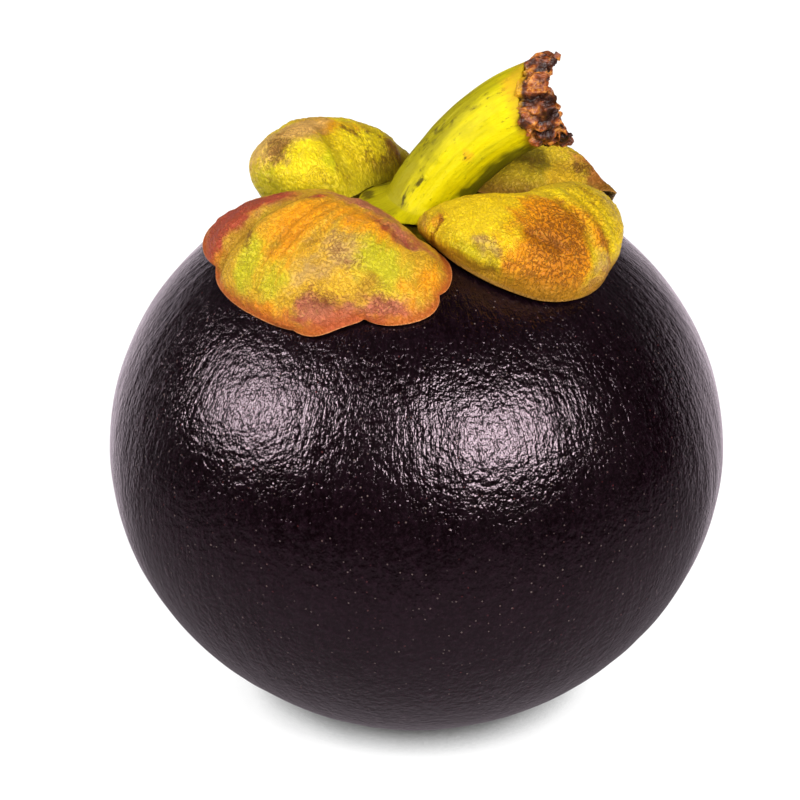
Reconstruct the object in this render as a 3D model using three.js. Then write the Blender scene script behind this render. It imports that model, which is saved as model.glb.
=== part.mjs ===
// A whole mangosteen: the glossy rind, a bent stem with a torn, dried end, four curled sepals
// round the stem's foot, and the woody stigma rosette that the fruit stands on.
// Millimetres, +Z up. The floor is z = 0 and the fruit's axis is the Z axis. The stem leans
// towards +X, and the two broad sepals at the front face -Y.
import * as THREE from "three";

// ---- Driving dimensions ----

const FRUIT_RADIUS = 31;
const EQUATOR_Z = 28.7; // height of the widest ring above the floor
const UPPER_HEIGHT = 27.9; // the upper half's height, before its top is levelled into a seat
const UPPER_POWER = 2.04; // 2 is an ellipse, more is squarer
const LOWER_HEIGHT = 28.6;
const LOWER_POWER = 1.91;
const SEAT_DROP = 1.5; // how much of the upper half's height the seat cuts off

const ROSETTE_THICKNESS = 1.0;
const ROSETTE_RADIUS = 7.4; // to the tip of a lobe
const ROSETTE_LOBES = 6;
const ROSETTE_NICKS = 0.68; // the radius between two lobes, as a share of the tips'
const LOBE_ROUNDNESS = 0.6; // less makes the lobes blunter

const STEM_RADIUS = 3.42; // just above the collar
const STEM_TIP_RADIUS = 4.25; // the stem thickens towards its torn end
const COLLAR_RADIUS = 5.5; // the rounded collar at the stem's foot, which the sepals grow from

const TOUCH_GAP = 0.2; // left between pieces that touch

// ---- Derived places ----

const SEAT_Z = EQUATOR_Z + UPPER_HEIGHT - SEAT_DROP; // the levelled top, where the stem's foot sits
const SEAT_BLEND = 2.2; // how softly the dome runs into the seat
const RIND_BOTTOM_Z = ROSETTE_THICKNESS + TOUCH_GAP;

// ---- Small helpers ----

const TURN = 2 * Math.PI;
const radians = (degrees) => (degrees * Math.PI) / 180;
const clamp01 = (x) => Math.min(Math.max(x, 0), 1);

// The lower of two heights, with a rounded corner where they meet.
function softMinimum(a, b, softness) {
  const h = clamp01(0.5 + (0.5 * (b - a)) / softness);
  return b * (1 - h) + a * h - softness * h * (1 - h);
}

// A smooth closed curve through values that stand at equal steps of direction.
function aroundRing(direction, values) {
  const n = values.length;
  const place = (((direction / TURN) * n) % n) + n;
  const i = Math.floor(place);
  const f = place - i;
  const [a, b, c, d] = [i - 1, i, i + 1, i + 2].map((k) => values[k % n]);
  return (
    0.5 * (2 * b + (c - a) * f + (2 * a - 5 * b + 4 * c - d) * f ** 2 + (3 * b - a - 3 * c + d) * f ** 3)
  );
}

// How far apart two directions are, in radians, from 0 to pi.
function directionGap(a, b) {
  const gap = (((a - b) % TURN) + TURN) % TURN;
  return Math.min(gap, TURN - gap);
}

// A closed skin. surface(turn, fall) gives a point for a turn of 0 to 1 round the piece,
// counter-clockwise seen from above, and a fall of 0 to 1 from its top pole to its bottom one.
function closedSkin(around, down, surface) {
  const skin = new THREE.SphereGeometry(1, around, down);
  const { position, uv } = skin.attributes;
  for (let i = 0; i < position.count; i++) {
    const point = surface(uv.getX(i), 1 - uv.getY(i));
    position.setXYZ(i, point.x, point.y, point.z);
  }
  skin.computeVertexNormals();
  return skin;
}

function piece(name, geometry, color, roughness) {
  const material = new THREE.MeshStandardMaterial({ color, roughness, metalness: 0 });
  const mesh = new THREE.Mesh(geometry, material);
  mesh.name = name;
  return mesh;
}

// ---- The rind ----

// Height of the rind's top side at a distance from the axis: half a superellipse with a level seat.
function topHeight(distance) {
  const x = clamp01(distance / FRUIT_RADIUS);
  const dome = EQUATOR_Z + UPPER_HEIGHT * (1 - x ** UPPER_POWER) ** (1 / UPPER_POWER);
  return softMinimum(dome, SEAT_Z, SEAT_BLEND);
}

// Height of its underside, levelled where it sits on the rosette.
function bottomHeight(distance) {
  const x = clamp01(distance / FRUIT_RADIUS);
  const bowl = EQUATOR_Z - LOWER_HEIGHT * (1 - x ** LOWER_POWER) ** (1 / LOWER_POWER);
  return Math.max(bowl, RIND_BOTTOM_Z);
}

function rind() {
  const surface = (turn, fall) => {
    const distance = FRUIT_RADIUS * Math.sin(fall * Math.PI);
    const z = fall < 0.5 ? topHeight(distance) : bottomHeight(distance);
    const angle = turn * TURN;
    return new THREE.Vector3(distance * Math.cos(angle), distance * Math.sin(angle), z);
  };
  return piece("rind", closedSkin(40, 20, surface), "#2c2026", 0.28);
}

// ---- Sepals ----

// The point of the rind's top skin, and its normal, at a spot measured along the skin:
// x and y are what a tape bent down from the top would read.
function skinSpot(x, y) {
  const along = Math.hypot(x, y);
  const distance = FRUIT_RADIUS * Math.sin(Math.min(along / FRUIT_RADIUS, Math.PI / 2));
  const [ux, uy] = along > 0 ? [x / along, y / along] : [1, 0];
  const step = 0.01;
  const below = Math.max(distance - step, 0);
  const slope = (topHeight(distance + step) - topHeight(below)) / (distance + step - below);
  const point = new THREE.Vector3(distance * ux, distance * uy, topHeight(distance));
  const normal = new THREE.Vector3(-slope * ux, -slope * uy, 1).normalize();
  return { point, normal };
}

// A sepal is a curled hood over the rind.
//   along, bearing: where its middle lies, down the skin from the top (mm) and round the axis (deg).
//   reach: its outline, the distance (mm) from the middle to the margin at equal steps of
//     direction, the first straight out from the axis, the rest counter-clockwise seen from above.
//   tuck: how far (deg) its section has turned down at the margin; past 90 it tucks under.
//   peak: the hood's height (mm) over the rind. lean: how far (mm) the peak is pushed off the
//     middle, outwards and counter-clockwise. fall: how sharply the height drops, 1 = as a dome.
//   thickness: mm. scallops: [direction, depth, width] of the nicks in its margin, and a
//     negative depth is a pointed tip. lifts: [direction, height, width] of raised margins.
const SEPALS = {
  sepal_front_left: {
    along: 13.3,
    bearing: 232,
    reach: [10, 10.5, 10.1, 12.1, 13.7, 12.1, 8.9, 7.8, 7.3, 7.8, 10.3, 12.1, 15.3, 13.7, 11.6, 10.3],
    tuck: [75, 62, 87, 70],
    peak: 5.2,
    lean: [0.1, -0.4],
    fall: [1, 1.4, 1, 1.1],
    thickness: 1.2,
    scallops: [[-65, 0.1, 7], [10, 0.03, 7], [55, 0.11, 8], [95, 0.09, 8]],
    lifts: [[270, 2.2, 35]],
    facets: 72,
    color: "#c68f2b",
  },
  sepal_front_right: {
    along: 12.5,
    bearing: -38,
    reach: [9, 9.7, 10.7, 11.8, 6.3, 5, 6, 10, 9.2, 8.5, 7.9, 8.5],
    tuck: [64, 110, 110, 112],
    peak: 5.6,
    lean: [1.6, 0.4],
    fall: [0.9, 0.6, 1.3, 0.6],
    thickness: 1.4,
    scallops: [],
    lifts: [],
    facets: 40,
    color: "#c28d24",
  },
  sepal_back_left: {
    along: 12,
    bearing: 140,
    reach: [7.9, 7.1, 6.8, 6.6, 7.1, 6.9, 5.9, 7.5, 10.1, 10.4, 9.8, 8.9],
    tuck: [87, 97, 88, 88],
    peak: 6.8,
    lean: [0.1, 1.5],
    fall: [1, 0.8, 1.4, 1.4],
    thickness: 1.4,
    scallops: [],
    lifts: [],
    facets: 40,
    color: "#ccab22",
  },
  sepal_back_right: {
    along: 14,
    bearing: 46,
    reach: [9.8, 9.7, 9.9, 9.8, 9.3, 8.6, 8.1, 8.2, 8.4, 8.9, 10.3, 10.3],
    tuck: [88, 85, 81, 78],
    peak: 5.3,
    lean: [0, -0.4],
    fall: [1, 1, 1, 1],
    thickness: 1.3,
    scallops: [[-75, -0.14, 9]],
    lifts: [[-75, 3.2, 14]],
    facets: 40,
    color: "#9e8024",
  },
};
const MARGIN_LIFT = 0.4; // a sepal's margin hovers this far over the rind
const MARGIN_CROWDING = 1.4; // a sepal's rows crowd towards its margin
const MARGIN_POWER = 6; // how closely its nicks and its thinning keep to the margin

// The outer face of a sepal, at a share of the reach (0 middle, 1 margin) in a direction.
function sepalFace(sepal, share, direction) {
  let reach = aroundRing(direction, sepal.reach);
  for (const [at, depth, width] of sepal.scallops) {
    const gap = directionGap(direction, radians(at)) / radians(width);
    reach *= 1 - depth * Math.exp(-gap) * Math.min(share, 1) ** MARGIN_POWER;
  }
  let lift = MARGIN_LIFT;
  for (const [at, height, width] of sepal.lifts) {
    const gap = directionGap(direction, radians(at)) / radians(width);
    lift += height * Math.exp(-(gap ** 2));
  }
  const turned = radians(aroundRing(direction, sepal.tuck));
  const out = (reach * Math.sin(turned * share)) / Math.sin(Math.min(turned, Math.PI / 2));
  const crown = (Math.cos(turned * share) - Math.cos(turned)) / (1 - Math.cos(turned));
  const outward = out * Math.cos(direction) + sepal.lean[0] * crown;
  const sideways = out * Math.sin(direction) + sepal.lean[1] * crown;
  const fall = aroundRing(direction, sepal.fall);
  const height = lift * share ** 2 + sepal.peak * Math.max(crown, 0) ** fall;
  const angle = radians(sepal.bearing);
  const spot = skinSpot(
    (sepal.along + outward) * Math.cos(angle) - sideways * Math.sin(angle),
    (sepal.along + outward) * Math.sin(angle) + sideways * Math.cos(angle),
  );
  return spot.point.addScaledVector(spot.normal, height);
}

// The face's normal, from points a small step away on either side.
function sepalNormal(sepal, share, direction) {
  const step = 0.02;
  const [p, q] = [share * Math.cos(direction), share * Math.sin(direction)];
  const at = (a, b) => sepalFace(sepal, Math.hypot(a, b), Math.atan2(b, a));
  const alongP = at(p + step, q).sub(at(p - step, q));
  const alongQ = at(p, q + step).sub(at(p, q - step));
  return alongP.cross(alongQ).normalize();
}

function sepalPiece(name, sepal) {
  const outerRows = 10;
  const innerRows = 5;
  const marginFall = outerRows / (outerRows + innerRows);
  const surface = (turn, fall) => {
    const direction = turn * TURN;
    const inside = fall > marginFall;
    const row = inside ? (1 - fall) / (1 - marginFall) : fall / marginFall;
    const share = 1 - (1 - Math.min(row, 1)) ** MARGIN_CROWDING;
    const point = sepalFace(sepal, share, direction);
    if (!inside) return point;
    const thickness = sepal.thickness * Math.sqrt(Math.max(1 - share ** MARGIN_POWER, 0));
    return point.addScaledVector(sepalNormal(sepal, share, direction), -thickness);
  };
  const geometry = closedSkin(sepal.facets, outerRows + innerRows, surface);
  return piece(name, geometry, sepal.color, 0.5);
}

// ---- The stem and its torn end ----

// The stem's middle line runs on through the torn end.
const STEM_FOOT = new THREE.Vector3(0.4, 0, SEAT_Z + TOUCH_GAP);
const STEM_LINE = new THREE.CubicBezierCurve3(
  STEM_FOOT,
  STEM_FOOT.clone().add(new THREE.Vector3(1.5, 0, 2.2)),
  STEM_FOOT.clone().add(new THREE.Vector3(6, 0, 10.7)),
  STEM_FOOT.clone().add(new THREE.Vector3(15, 0, 11.6)),
);
const LEVEL_SHARE = 0.15; // below this share of the line the sections turn level

// The collar is wider and higher towards the back left, where side is COLLAR_SIDE. Its height is
// a share of the stem's line, and grows from the low one to the high one.
const COLLAR_SIDE = radians(240);
const COLLAR_BULGE = 0.11;
const COLLAR_LOW = 0.05;
const COLLAR_HIGH = 0.125;
const COLLAR_SOFTNESS = 1.1; // how softly the stem grows out of it

const FLARE = 0.9; // how much the stem itself widens at its foot
const FLARE_SHARE = 0.09; // and over what share of its line
const RIDGES = 5; // soft ridges along the stem
const RIDGE_DEPTH = 0.025; // as a share of the stem's radius
const RIDGE_SIDE = 0.6; // turns them round the stem
const STEM_CROWDING = 1.3; // the stem's rows crowd towards its foot

// The section plane at t, a share of the line: its middle, and its directions to the front (-Y)
// and, at right angles, round the back. At the foot the sections lie level, so that it stands flat.
function stemFrame(t) {
  const level = Math.exp(-((t / LEVEL_SHARE) ** 4));
  const axis = STEM_LINE.getTangent(t).lerp(new THREE.Vector3(0, 0, 1), level).normalize();
  const front = new THREE.Vector3(0, -1, 0);
  return { middle: STEM_LINE.getPoint(t), front, under: axis.cross(front) };
}

// side is the direction round the section: 0 faces -Y, a quarter turn faces down.
function stemRadius(t, side) {
  const towards = Math.cos(side - COLLAR_SIDE);
  const collarEnd = COLLAR_LOW + ((COLLAR_HIGH - COLLAR_LOW) * (1 + towards)) / 2;
  const round = Math.sqrt(1 - clamp01(t / collarEnd) ** 2);
  const collar = COLLAR_RADIUS * (1 + COLLAR_BULGE * towards) * round;
  const ridges = 1 + RIDGE_DEPTH * Math.cos(RIDGES * side + RIDGE_SIDE) * clamp01(t / LEVEL_SHARE);
  const flare = FLARE * Math.exp(-((t / FLARE_SHARE) ** 2));
  const radius = (STEM_RADIUS + flare + (STEM_TIP_RADIUS - STEM_RADIUS) * t) * ridges;
  return -softMinimum(-radius, -collar, COLLAR_SOFTNESS);
}

function stemPoint(t, side, share) {
  const { middle, front, under } = stemFrame(t);
  const radius = stemRadius(t, side) * share;
  return middle
    .addScaledVector(front, radius * Math.cos(side))
    .addScaledVector(under, radius * Math.sin(side));
}

function stem() {
  const rows = 18;
  const surface = (turn, fall) => {
    const climb = clamp01((1 - fall - 1 / rows) / (1 - 2 / rows)); // the end rows are the caps
    const share = fall === 0 || fall === 1 ? 0 : 1;
    const end = share === 0 ? TORN_MIDDLE : aroundRing(turn * TURN, TORN_EDGE);
    return stemPoint(climb ** STEM_CROWDING * (end - TORN_SEAM), turn * TURN, share);
  };
  return piece("stem", closedSkin(22, rows, surface), "#cdc31e", 0.42);
}

// At equal steps of side from the front: the share of the stem's line where the torn end begins,
// which is furthest down in front, and where its rim lies, with a lump above, a bite under it
// and a knob below.
const TORN_EDGE = [
  0.785, 0.785, 0.79, 0.8, 0.815, 0.82, 0.825, 0.83, 0.83, 0.84, 0.85, 0.857, 0.857, 0.84, 0.815, 0.795,
];
const TORN_RIM = [
  0.935, 0.945, 0.965, 0.97, 0.95, 0.935, 0.93, 0.93, 0.915, 0.925, 0.955, 0.96, 0.955, 0.945, 0.915, 0.915,
];
const TORN_SWELL = [1.06, 1.08, 1.08, 1.05, 1.05, 1.04, 1.02, 1.04]; // its radius over the stem's
const TORN_SEAM = 0.01; // the gap between the green stem and the torn end, along the line
const TORN_MIDDLE = 0.82; // where the middle of its foot lies
const TORN_FLOOR = 0.87; // and the middle of its hollow
const TORN_HOLLOW = 0.6; // how deep the end is hollowed, as a share of the torn end's length
const TORN_FRAYS = 9; // small waves round the rim
const FRAY_REACH = 0.006; // their depth along the line
const FRAY_SWELL = 0.025; // and outwards, as a share of the radius
const FRAY_LAG = 1; // the outward waves stand this far (radians) behind the others
const TORN_ROUND = 0.06; // how far its wall bulges, as a share of the radius

function tornStemEnd() {
  const wallTop = 0.35; // the shares of the rows where its outer wall begins and ends
  const wallFoot = 0.75;
  const surface = (turn, fall) => {
    const side = turn * TURN;
    const edge = aroundRing(side, TORN_EDGE);
    const rim = aroundRing(side, TORN_RIM) + FRAY_REACH * Math.cos(TORN_FRAYS * side);
    const outwards = FRAY_SWELL * Math.cos(TORN_FRAYS * side + FRAY_LAG);
    const swell = aroundRing(side, TORN_SWELL) + outwards;
    if (fall >= wallFoot) {
      const inward = (1 - fall) / (1 - wallFoot);
      return stemPoint(TORN_MIDDLE + (edge - TORN_MIDDLE) * inward, side, swell * inward);
    }
    if (fall >= wallTop) {
      const climb = (wallFoot - fall) / (wallFoot - wallTop);
      const round = TORN_ROUND * Math.sin(climb * Math.PI);
      return stemPoint(edge + (rim - edge) * climb, side, swell + round);
    }
    const outward = fall / wallTop;
    const floor = rim - (rim - edge) * TORN_HOLLOW * (1 - outward ** 2);
    return stemPoint(TORN_FLOOR + (floor - TORN_FLOOR) * outward, side, swell * outward);
  };
  return piece("torn_stem_end", closedSkin(32, 16, surface), "#5a2f1a", 0.55);
}

// ---- The stigma rosette ----

// A flat woody disc of rounded lobes, which the fruit stands on.
function stigmaRosette() {
  const outline = new THREE.Shape();
  const points = 72;
  for (let i = 0; i < points; i++) {
    const direction = (i / points) * TURN;
    const lobe = Math.abs(Math.cos((ROSETTE_LOBES / 2) * direction)) ** LOBE_ROUNDNESS;
    const radius = ROSETTE_RADIUS * (ROSETTE_NICKS + (1 - ROSETTE_NICKS) * lobe);
    const [x, y] = [radius * Math.cos(direction), radius * Math.sin(direction)];
    if (i === 0) outline.moveTo(x, y);
    else outline.lineTo(x, y);
  }
  const geometry = new THREE.ExtrudeGeometry(outline, { depth: ROSETTE_THICKNESS, bevelEnabled: false });
  return piece("stigma_rosette", geometry, "#4b3328", 0.75);
}

// ---- The fruit ----

const mangosteen = new THREE.Group();
mangosteen.name = "mangosteen";
mangosteen.add(rind(), stem(), tornStemEnd(), stigmaRosette());
for (const [name, sepal] of Object.entries(SEPALS)) {
  mangosteen.add(sepalPiece(name, sepal));
}

export default mangosteen;
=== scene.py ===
"""A whole mangosteen in Blender: the glossy rind, the bent stem with its torn end, four curled
sepals and the woody stigma rosette, on a pale studio floor.

It is laid out as an add-on: settings, an operator for each piece or group of pieces, and a
sidebar panel. Every surface is a formula of two parameters, worked out on a grid with numpy, in
millimetres, +Z up."""

import math
from itertools import product

import bpy
import numpy as np
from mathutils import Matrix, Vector


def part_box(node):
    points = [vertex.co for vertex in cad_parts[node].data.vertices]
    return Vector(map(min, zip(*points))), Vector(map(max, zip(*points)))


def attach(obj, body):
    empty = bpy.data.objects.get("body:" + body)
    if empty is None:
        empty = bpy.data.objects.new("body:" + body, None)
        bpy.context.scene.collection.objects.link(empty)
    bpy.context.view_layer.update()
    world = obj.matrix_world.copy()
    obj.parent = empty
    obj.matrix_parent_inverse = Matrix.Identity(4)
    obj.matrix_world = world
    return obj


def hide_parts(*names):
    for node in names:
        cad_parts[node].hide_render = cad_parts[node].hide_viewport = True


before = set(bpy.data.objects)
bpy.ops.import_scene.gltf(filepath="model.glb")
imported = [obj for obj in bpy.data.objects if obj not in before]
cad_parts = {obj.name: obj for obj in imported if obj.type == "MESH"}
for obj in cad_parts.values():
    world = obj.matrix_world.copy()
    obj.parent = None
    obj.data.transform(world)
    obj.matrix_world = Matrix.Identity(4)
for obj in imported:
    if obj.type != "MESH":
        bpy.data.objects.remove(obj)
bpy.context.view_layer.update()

bl_info = {
    "name": "Mangosteen",
    "version": (1, 0, 0),
    "blender": (4, 5, 0),
    "location": "3D View > Sidebar > Mangosteen",
    "description": "Builds a whole mangosteen and the studio that it stands in",
    "category": "Add Mesh",
}

MM = 0.001
TURN = 2 * math.pi


def corners_mm(node):
    """The lowest and highest corner of a CAD node, in millimetres."""
    return [np.array(corner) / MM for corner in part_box(node)]


RIND_LOW, RIND_HIGH = corners_mm("rind")
STEM_LOW = corners_mm("stem")[0]
ROSETTE_LOW, ROSETTE_HIGH = corners_mm("stigma_rosette")


# ---- Noise, as whole arrays ----


def random_of(cells, seed):
    """A random number from -1 to 1 for each whole-number place, always the same one."""
    x, y, z = (cells[..., axis].astype(np.int64).astype(np.uint32) for axis in range(3))
    mix = x * np.uint32(73856093) ^ y * np.uint32(19349663) ^ z * np.uint32(83492791)
    mix = mix + np.uint32(seed * 2654435761 % 2**32)
    for shift, factor in ((15, 739982445), (12, 695872825), (15, 1)):
        mix = (mix ^ (mix >> np.uint32(shift))) * np.uint32(factor)
    return mix / 2.0**31 - 1


def smooth_noise(places, seed=0):
    """Random values at whole-number places, blended with a quintic step in between."""
    corner = np.floor(places)
    part = places - corner
    part = part**3 * (part * (part * 6 - 15) + 10)
    total = 0
    for offset in product((0, 1), repeat=3):
        weight = np.prod(np.where(offset, part, 1 - part), axis=-1)
        total = total + weight * random_of(corner + offset, seed)
    return total


def layered_noise(places, layers, seed=0):
    """Layers of smooth noise, each twice as fine as the last and half as strong."""
    return sum(
        smooth_noise(places * 2**layer, seed + layer) / 2**layer for layer in range(layers)
    )


def pebbles(places, seed=0):
    """Random points, one in each unit cell: the distance to the nearest one, and how much
    nearer it is than the next one, which is 0 on the seams between pebbles."""
    corner = np.floor(places)
    nearest = np.full(places.shape[:-1], 9.0)
    second = nearest.copy()
    for offset in product((-1, 0, 1), repeat=3):
        cell = corner + offset
        point = [0.5 + 0.45 * random_of(cell, seed + axis) for axis in range(3)]
        distance = np.linalg.norm(cell + np.stack(point, -1) - places, axis=-1)
        second = np.minimum(second, np.maximum(distance, nearest))
        nearest = np.minimum(nearest, distance)
    return nearest, second - nearest


# ---- Curves and grids ----


def around_ring(direction, values):
    """A smooth closed curve (Catmull-Rom) through values at equal steps of direction."""
    values = np.asarray(values, float)
    place = np.asarray(direction) / TURN * len(values)
    first = np.floor(place).astype(int)
    part = place - first
    a, b, c, d = (values[(first + k) % len(values)] for k in (-1, 0, 1, 2))
    curve = 2 * b + (c - a) * part + (2 * a - 5 * b + 4 * c - d) * part**2
    return 0.5 * (curve + (3 * b - a - 3 * c + d) * part**3)


def direction_gap(a, b):
    """How far apart two directions are, from 0 to pi."""
    return np.abs((a - b + math.pi) % TURN - math.pi)


def soft_minimum(a, b, softness):
    """The lower of two heights, with a rounded corner where they meet."""
    h = np.clip(0.5 + 0.5 * (b - a) / softness, 0, 1)
    return b * (1 - h) + a * h - softness * h * (1 - h)


def smooth_step(low, high, values):
    """0 below low, 1 above high, and a soft ramp in between."""
    x = np.clip((values - low) / (high - low), 0, 1)
    return x * x * (3 - 2 * x)


def grid_of(down, columns):
    """A grid's values down its rows, and the directions of its columns, at each point."""
    return np.meshgrid(down, np.arange(columns) / columns * TURN, indexing="ij")


def round_axis(direction, distance, height):
    """Points in a direction and at a distance from the upright axis, at a height."""
    return np.stack([distance * np.cos(direction), distance * np.sin(direction), height], -1)


def grid_normals(points):
    """Outward normals of a grid whose rows run down and whose columns run round,
    counter-clockwise seen from above: the cross product of its two directions."""
    down = np.gradient(points, axis=0)
    around = np.roll(points, -1, 1) - np.roll(points, 1, 1)
    normals = np.cross(down, around)
    return normals / np.maximum(np.linalg.norm(normals, axis=-1, keepdims=True), 1e-12)


# ---- The rind ----

EQUATOR_Z = 28.7  # height of the widest ring
UPPER_HEIGHT = 27.9  # the upper half's height, before its top is levelled into a seat
UPPER_POWER = 2.04  # 2 is an ellipse, more is squarer
LOWER_HEIGHT = 28.6
LOWER_POWER = 1.91
SEAT_BLEND = 2.2  # how softly the dome runs into the level seat of the stem
TOUCH_GAP = 0.2  # left between the seat and the stem's foot
SLOPE_STEP = 0.01  # mm, over which the slope of the skin is measured


class RindShape:
    """The rind's profile: two half superellipses, levelled at the top and at the bottom."""

    def __init__(self, radius):
        self.radius = radius
        self.seat = STEM_LOW[2] - TOUCH_GAP
        self.base = RIND_LOW[2]

    def top(self, distance):
        """Height of the upper side at a distance from the axis."""
        x = np.clip(distance / self.radius, 0, 1)
        dome = EQUATOR_Z + UPPER_HEIGHT * (1 - x**UPPER_POWER) ** (1 / UPPER_POWER)
        return soft_minimum(dome, self.seat, SEAT_BLEND)

    def bottom(self, distance):
        """Height of the underside at a distance from the axis."""
        x = np.clip(distance / self.radius, 0, 1)
        bowl = EQUATOR_Z - LOWER_HEIGHT * (1 - x**LOWER_POWER) ** (1 / LOWER_POWER)
        return np.maximum(bowl, self.base)

    def spot(self, x, y):
        """The point of the top skin, and its normal, where a tape bent down from the top
        would read x and y."""
        along = np.hypot(x, y)
        distance = self.radius * np.sin(np.clip(along / self.radius, 0, math.pi / 2))
        ux, uy = x / np.maximum(along, 1e-9), y / np.maximum(along, 1e-9)
        below, beyond = np.maximum(distance - SLOPE_STEP, 0), distance + SLOPE_STEP
        slope = (self.top(beyond) - self.top(below)) / (beyond - below)
        point = np.stack([distance * ux, distance * uy, self.top(distance)], -1)
        normal = np.stack([-slope * ux, -slope * uy, np.ones_like(slope)], -1)
        return point, normal / np.linalg.norm(normal, axis=-1, keepdims=True)


SKIN_ROOM = 0.08  # half the room of the relief, which only goes inwards from the outline
SWELL_SPACING = 7  # mm, between the rind's soft swellings
SWELL_HEIGHT = 0.045
FLUTE_SPACING = 1.6  # between the flutes that run up and down the fruit
FLUTE_HEIGHT = 0.03
FLUTE_STRETCH = 0.15  # less draws the flutes out longer
POLE_CALM = 0.2  # nearer to the axis than this share of the radius the relief fades out


def rind_grid(rind, rows, columns):
    """The whole rind: rings from the top to the bottom, at equal steps of the angle whose
    sine gives the distance from the axis, with soft unevenness and flutes that run up and
    down the fruit."""
    fall, turn = grid_of((np.arange(rows) + 0.5) / rows, columns)
    distance = rind.radius * np.sin(fall * math.pi)
    height = np.where(fall < 0.5, rind.top(distance), rind.bottom(distance))
    points = round_axis(turn, distance, height)
    flutes = round_axis(turn, rind.radius, height * FLUTE_STRETCH)
    relief = SWELL_HEIGHT * layered_noise(points / SWELL_SPACING, 3, 1)
    relief = relief + FLUTE_HEIGHT * smooth_noise(flutes / FLUTE_SPACING, 5)
    relief = np.clip(relief, -SKIN_ROOM, SKIN_ROOM) - SKIN_ROOM
    relief = relief * smooth_step(0.0, POLE_CALM, np.sin(fall * math.pi))
    meridian = round_axis(turn, rind.radius, fall * math.pi * rind.radius)
    return points + grid_normals(points) * relief[..., None], {"meridian": meridian}


# ---- Sepals ----

MARGIN_LIFT = 0.4  # a sepal's margin hovers this far over the rind
MARGIN_CROWDING = 1.4  # a sepal's rows crowd towards its margin
MARGIN_POWER = 6  # how closely its nicks and its thinning keep to the margin

# along, bearing: where the hood's middle lies, down the skin from the top and round the axis
# (degrees). reach: distance from the middle to the margin at equal steps of direction, the
# first straight out from the axis. tuck: how far (degrees) the section has turned down at the
# margin. peak, lean, fall: the height over the rind, where it is pushed, how sharply it drops.
# thickness: of the sepal, away from its margin.
# scallops: direction, depth, width of nicks (a negative depth is a tip). lifts: direction,
# height, width of raised margins.
HOODS = {
    "sepal_front_left": {
        "along": 13.3,
        "bearing": 232,
        "reach": [10, 10.5, 10.1, 12.1, 13.7, 12.1, 8.9, 7.8, 7.3, 7.8, 10.3, 12.1, 15.3, 13.7, 11.6, 10.3],
        "tuck": [75, 62, 87, 70],
        "peak": 5.2,
        "lean": [0.1, -0.4],
        "fall": [1, 1.4, 1, 1.1],
        "thickness": 1.2,
        "scallops": [(-65, 0.1, 7), (10, 0.03, 7), (55, 0.11, 8), (95, 0.09, 8)],
        "lifts": [(270, 2.2, 35)],
    },
    "sepal_front_right": {
        "along": 12.5,
        "bearing": -38,
        "reach": [9, 9.7, 10.7, 11.8, 6.3, 5, 6, 10, 9.2, 8.5, 7.9, 8.5],
        "tuck": [64, 110, 110, 112],
        "peak": 5.6,
        "lean": [1.6, 0.4],
        "fall": [0.9, 0.6, 1.3, 0.6],
        "thickness": 1.4,
        "scallops": [],
        "lifts": [],
    },
    "sepal_back_left": {
        "along": 12,
        "bearing": 140,
        "reach": [7.9, 7.1, 6.8, 6.6, 7.1, 6.9, 5.9, 7.5, 10.1, 10.4, 9.8, 8.9],
        "tuck": [87, 97, 88, 88],
        "peak": 6.8,
        "lean": [0.1, 1.5],
        "fall": [1, 0.8, 1.4, 1.4],
        "thickness": 1.4,
        "scallops": [],
        "lifts": [],
    },
    "sepal_back_right": {
        "along": 14,
        "bearing": 46,
        "reach": [9.8, 9.7, 9.9, 9.8, 9.3, 8.6, 8.1, 8.2, 8.4, 8.9, 10.3, 10.3],
        "tuck": [88, 85, 81, 78],
        "peak": 5.3,
        "lean": [0, -0.4],
        "fall": [1, 1, 1, 1],
        "thickness": 1.3,
        "scallops": [(-75, -0.14, 9)],
        "lifts": [(-75, 3.2, 14)],
    },
}


def hood_face(hood, rind, share, direction):
    """The hood's outer face at a share of the reach (0 middle, 1 margin) in a direction: a
    circular arc that has turned by the tuck at the margin, laid along the skin, with the
    height of its crown over it. Also gives where it lies, outward and sideways from the
    hood's middle, and how far down the skin and round the axis that is."""
    reach = around_ring(direction, hood["reach"])
    for at, depth, width in hood["scallops"]:
        gap = direction_gap(direction, math.radians(at)) / math.radians(width)
        reach = reach * (1 - depth * np.exp(-gap) * share**MARGIN_POWER)
    lift = MARGIN_LIFT
    for at, height, width in hood["lifts"]:
        gap = direction_gap(direction, math.radians(at)) / math.radians(width)
        lift = lift + height * np.exp(-(gap**2))
    turned = np.radians(around_ring(direction, hood["tuck"]))
    out = reach * np.sin(turned * share) / np.sin(np.minimum(turned, math.pi / 2))
    crown = (np.cos(turned * share) - np.cos(turned)) / (1 - np.cos(turned))
    outward = out * np.cos(direction) + hood["lean"][0] * crown
    sideways = out * np.sin(direction) + hood["lean"][1] * crown
    fall = around_ring(direction, hood["fall"])
    height = lift * share**2 + hood["peak"] * np.maximum(crown, 0) ** fall
    bearing = math.radians(hood["bearing"])
    x = (hood["along"] + outward) * math.cos(bearing) - sideways * math.sin(bearing)
    y = (hood["along"] + outward) * math.sin(bearing) + sideways * math.cos(bearing)
    point, normal = rind.spot(x, y)
    return point + normal * height[..., None], outward, sideways, np.hypot(x, y), np.arctan2(y, x)


def patch(place, centre, size, turn):
    """A soft oval patch: 1 in its centre, fading over its half-length and half-width, with
    its length turned (degrees) from the first axis."""
    cosine, sine = math.cos(math.radians(turn)), math.sin(math.radians(turn))
    dx, dy = place[0] - centre[0], place[1] - centre[1]
    long, wide = (dx * cosine + dy * sine) / size[0], (dy * cosine - dx * sine) / size[1]
    return np.exp(-(long**2 + wide**2))


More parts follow.
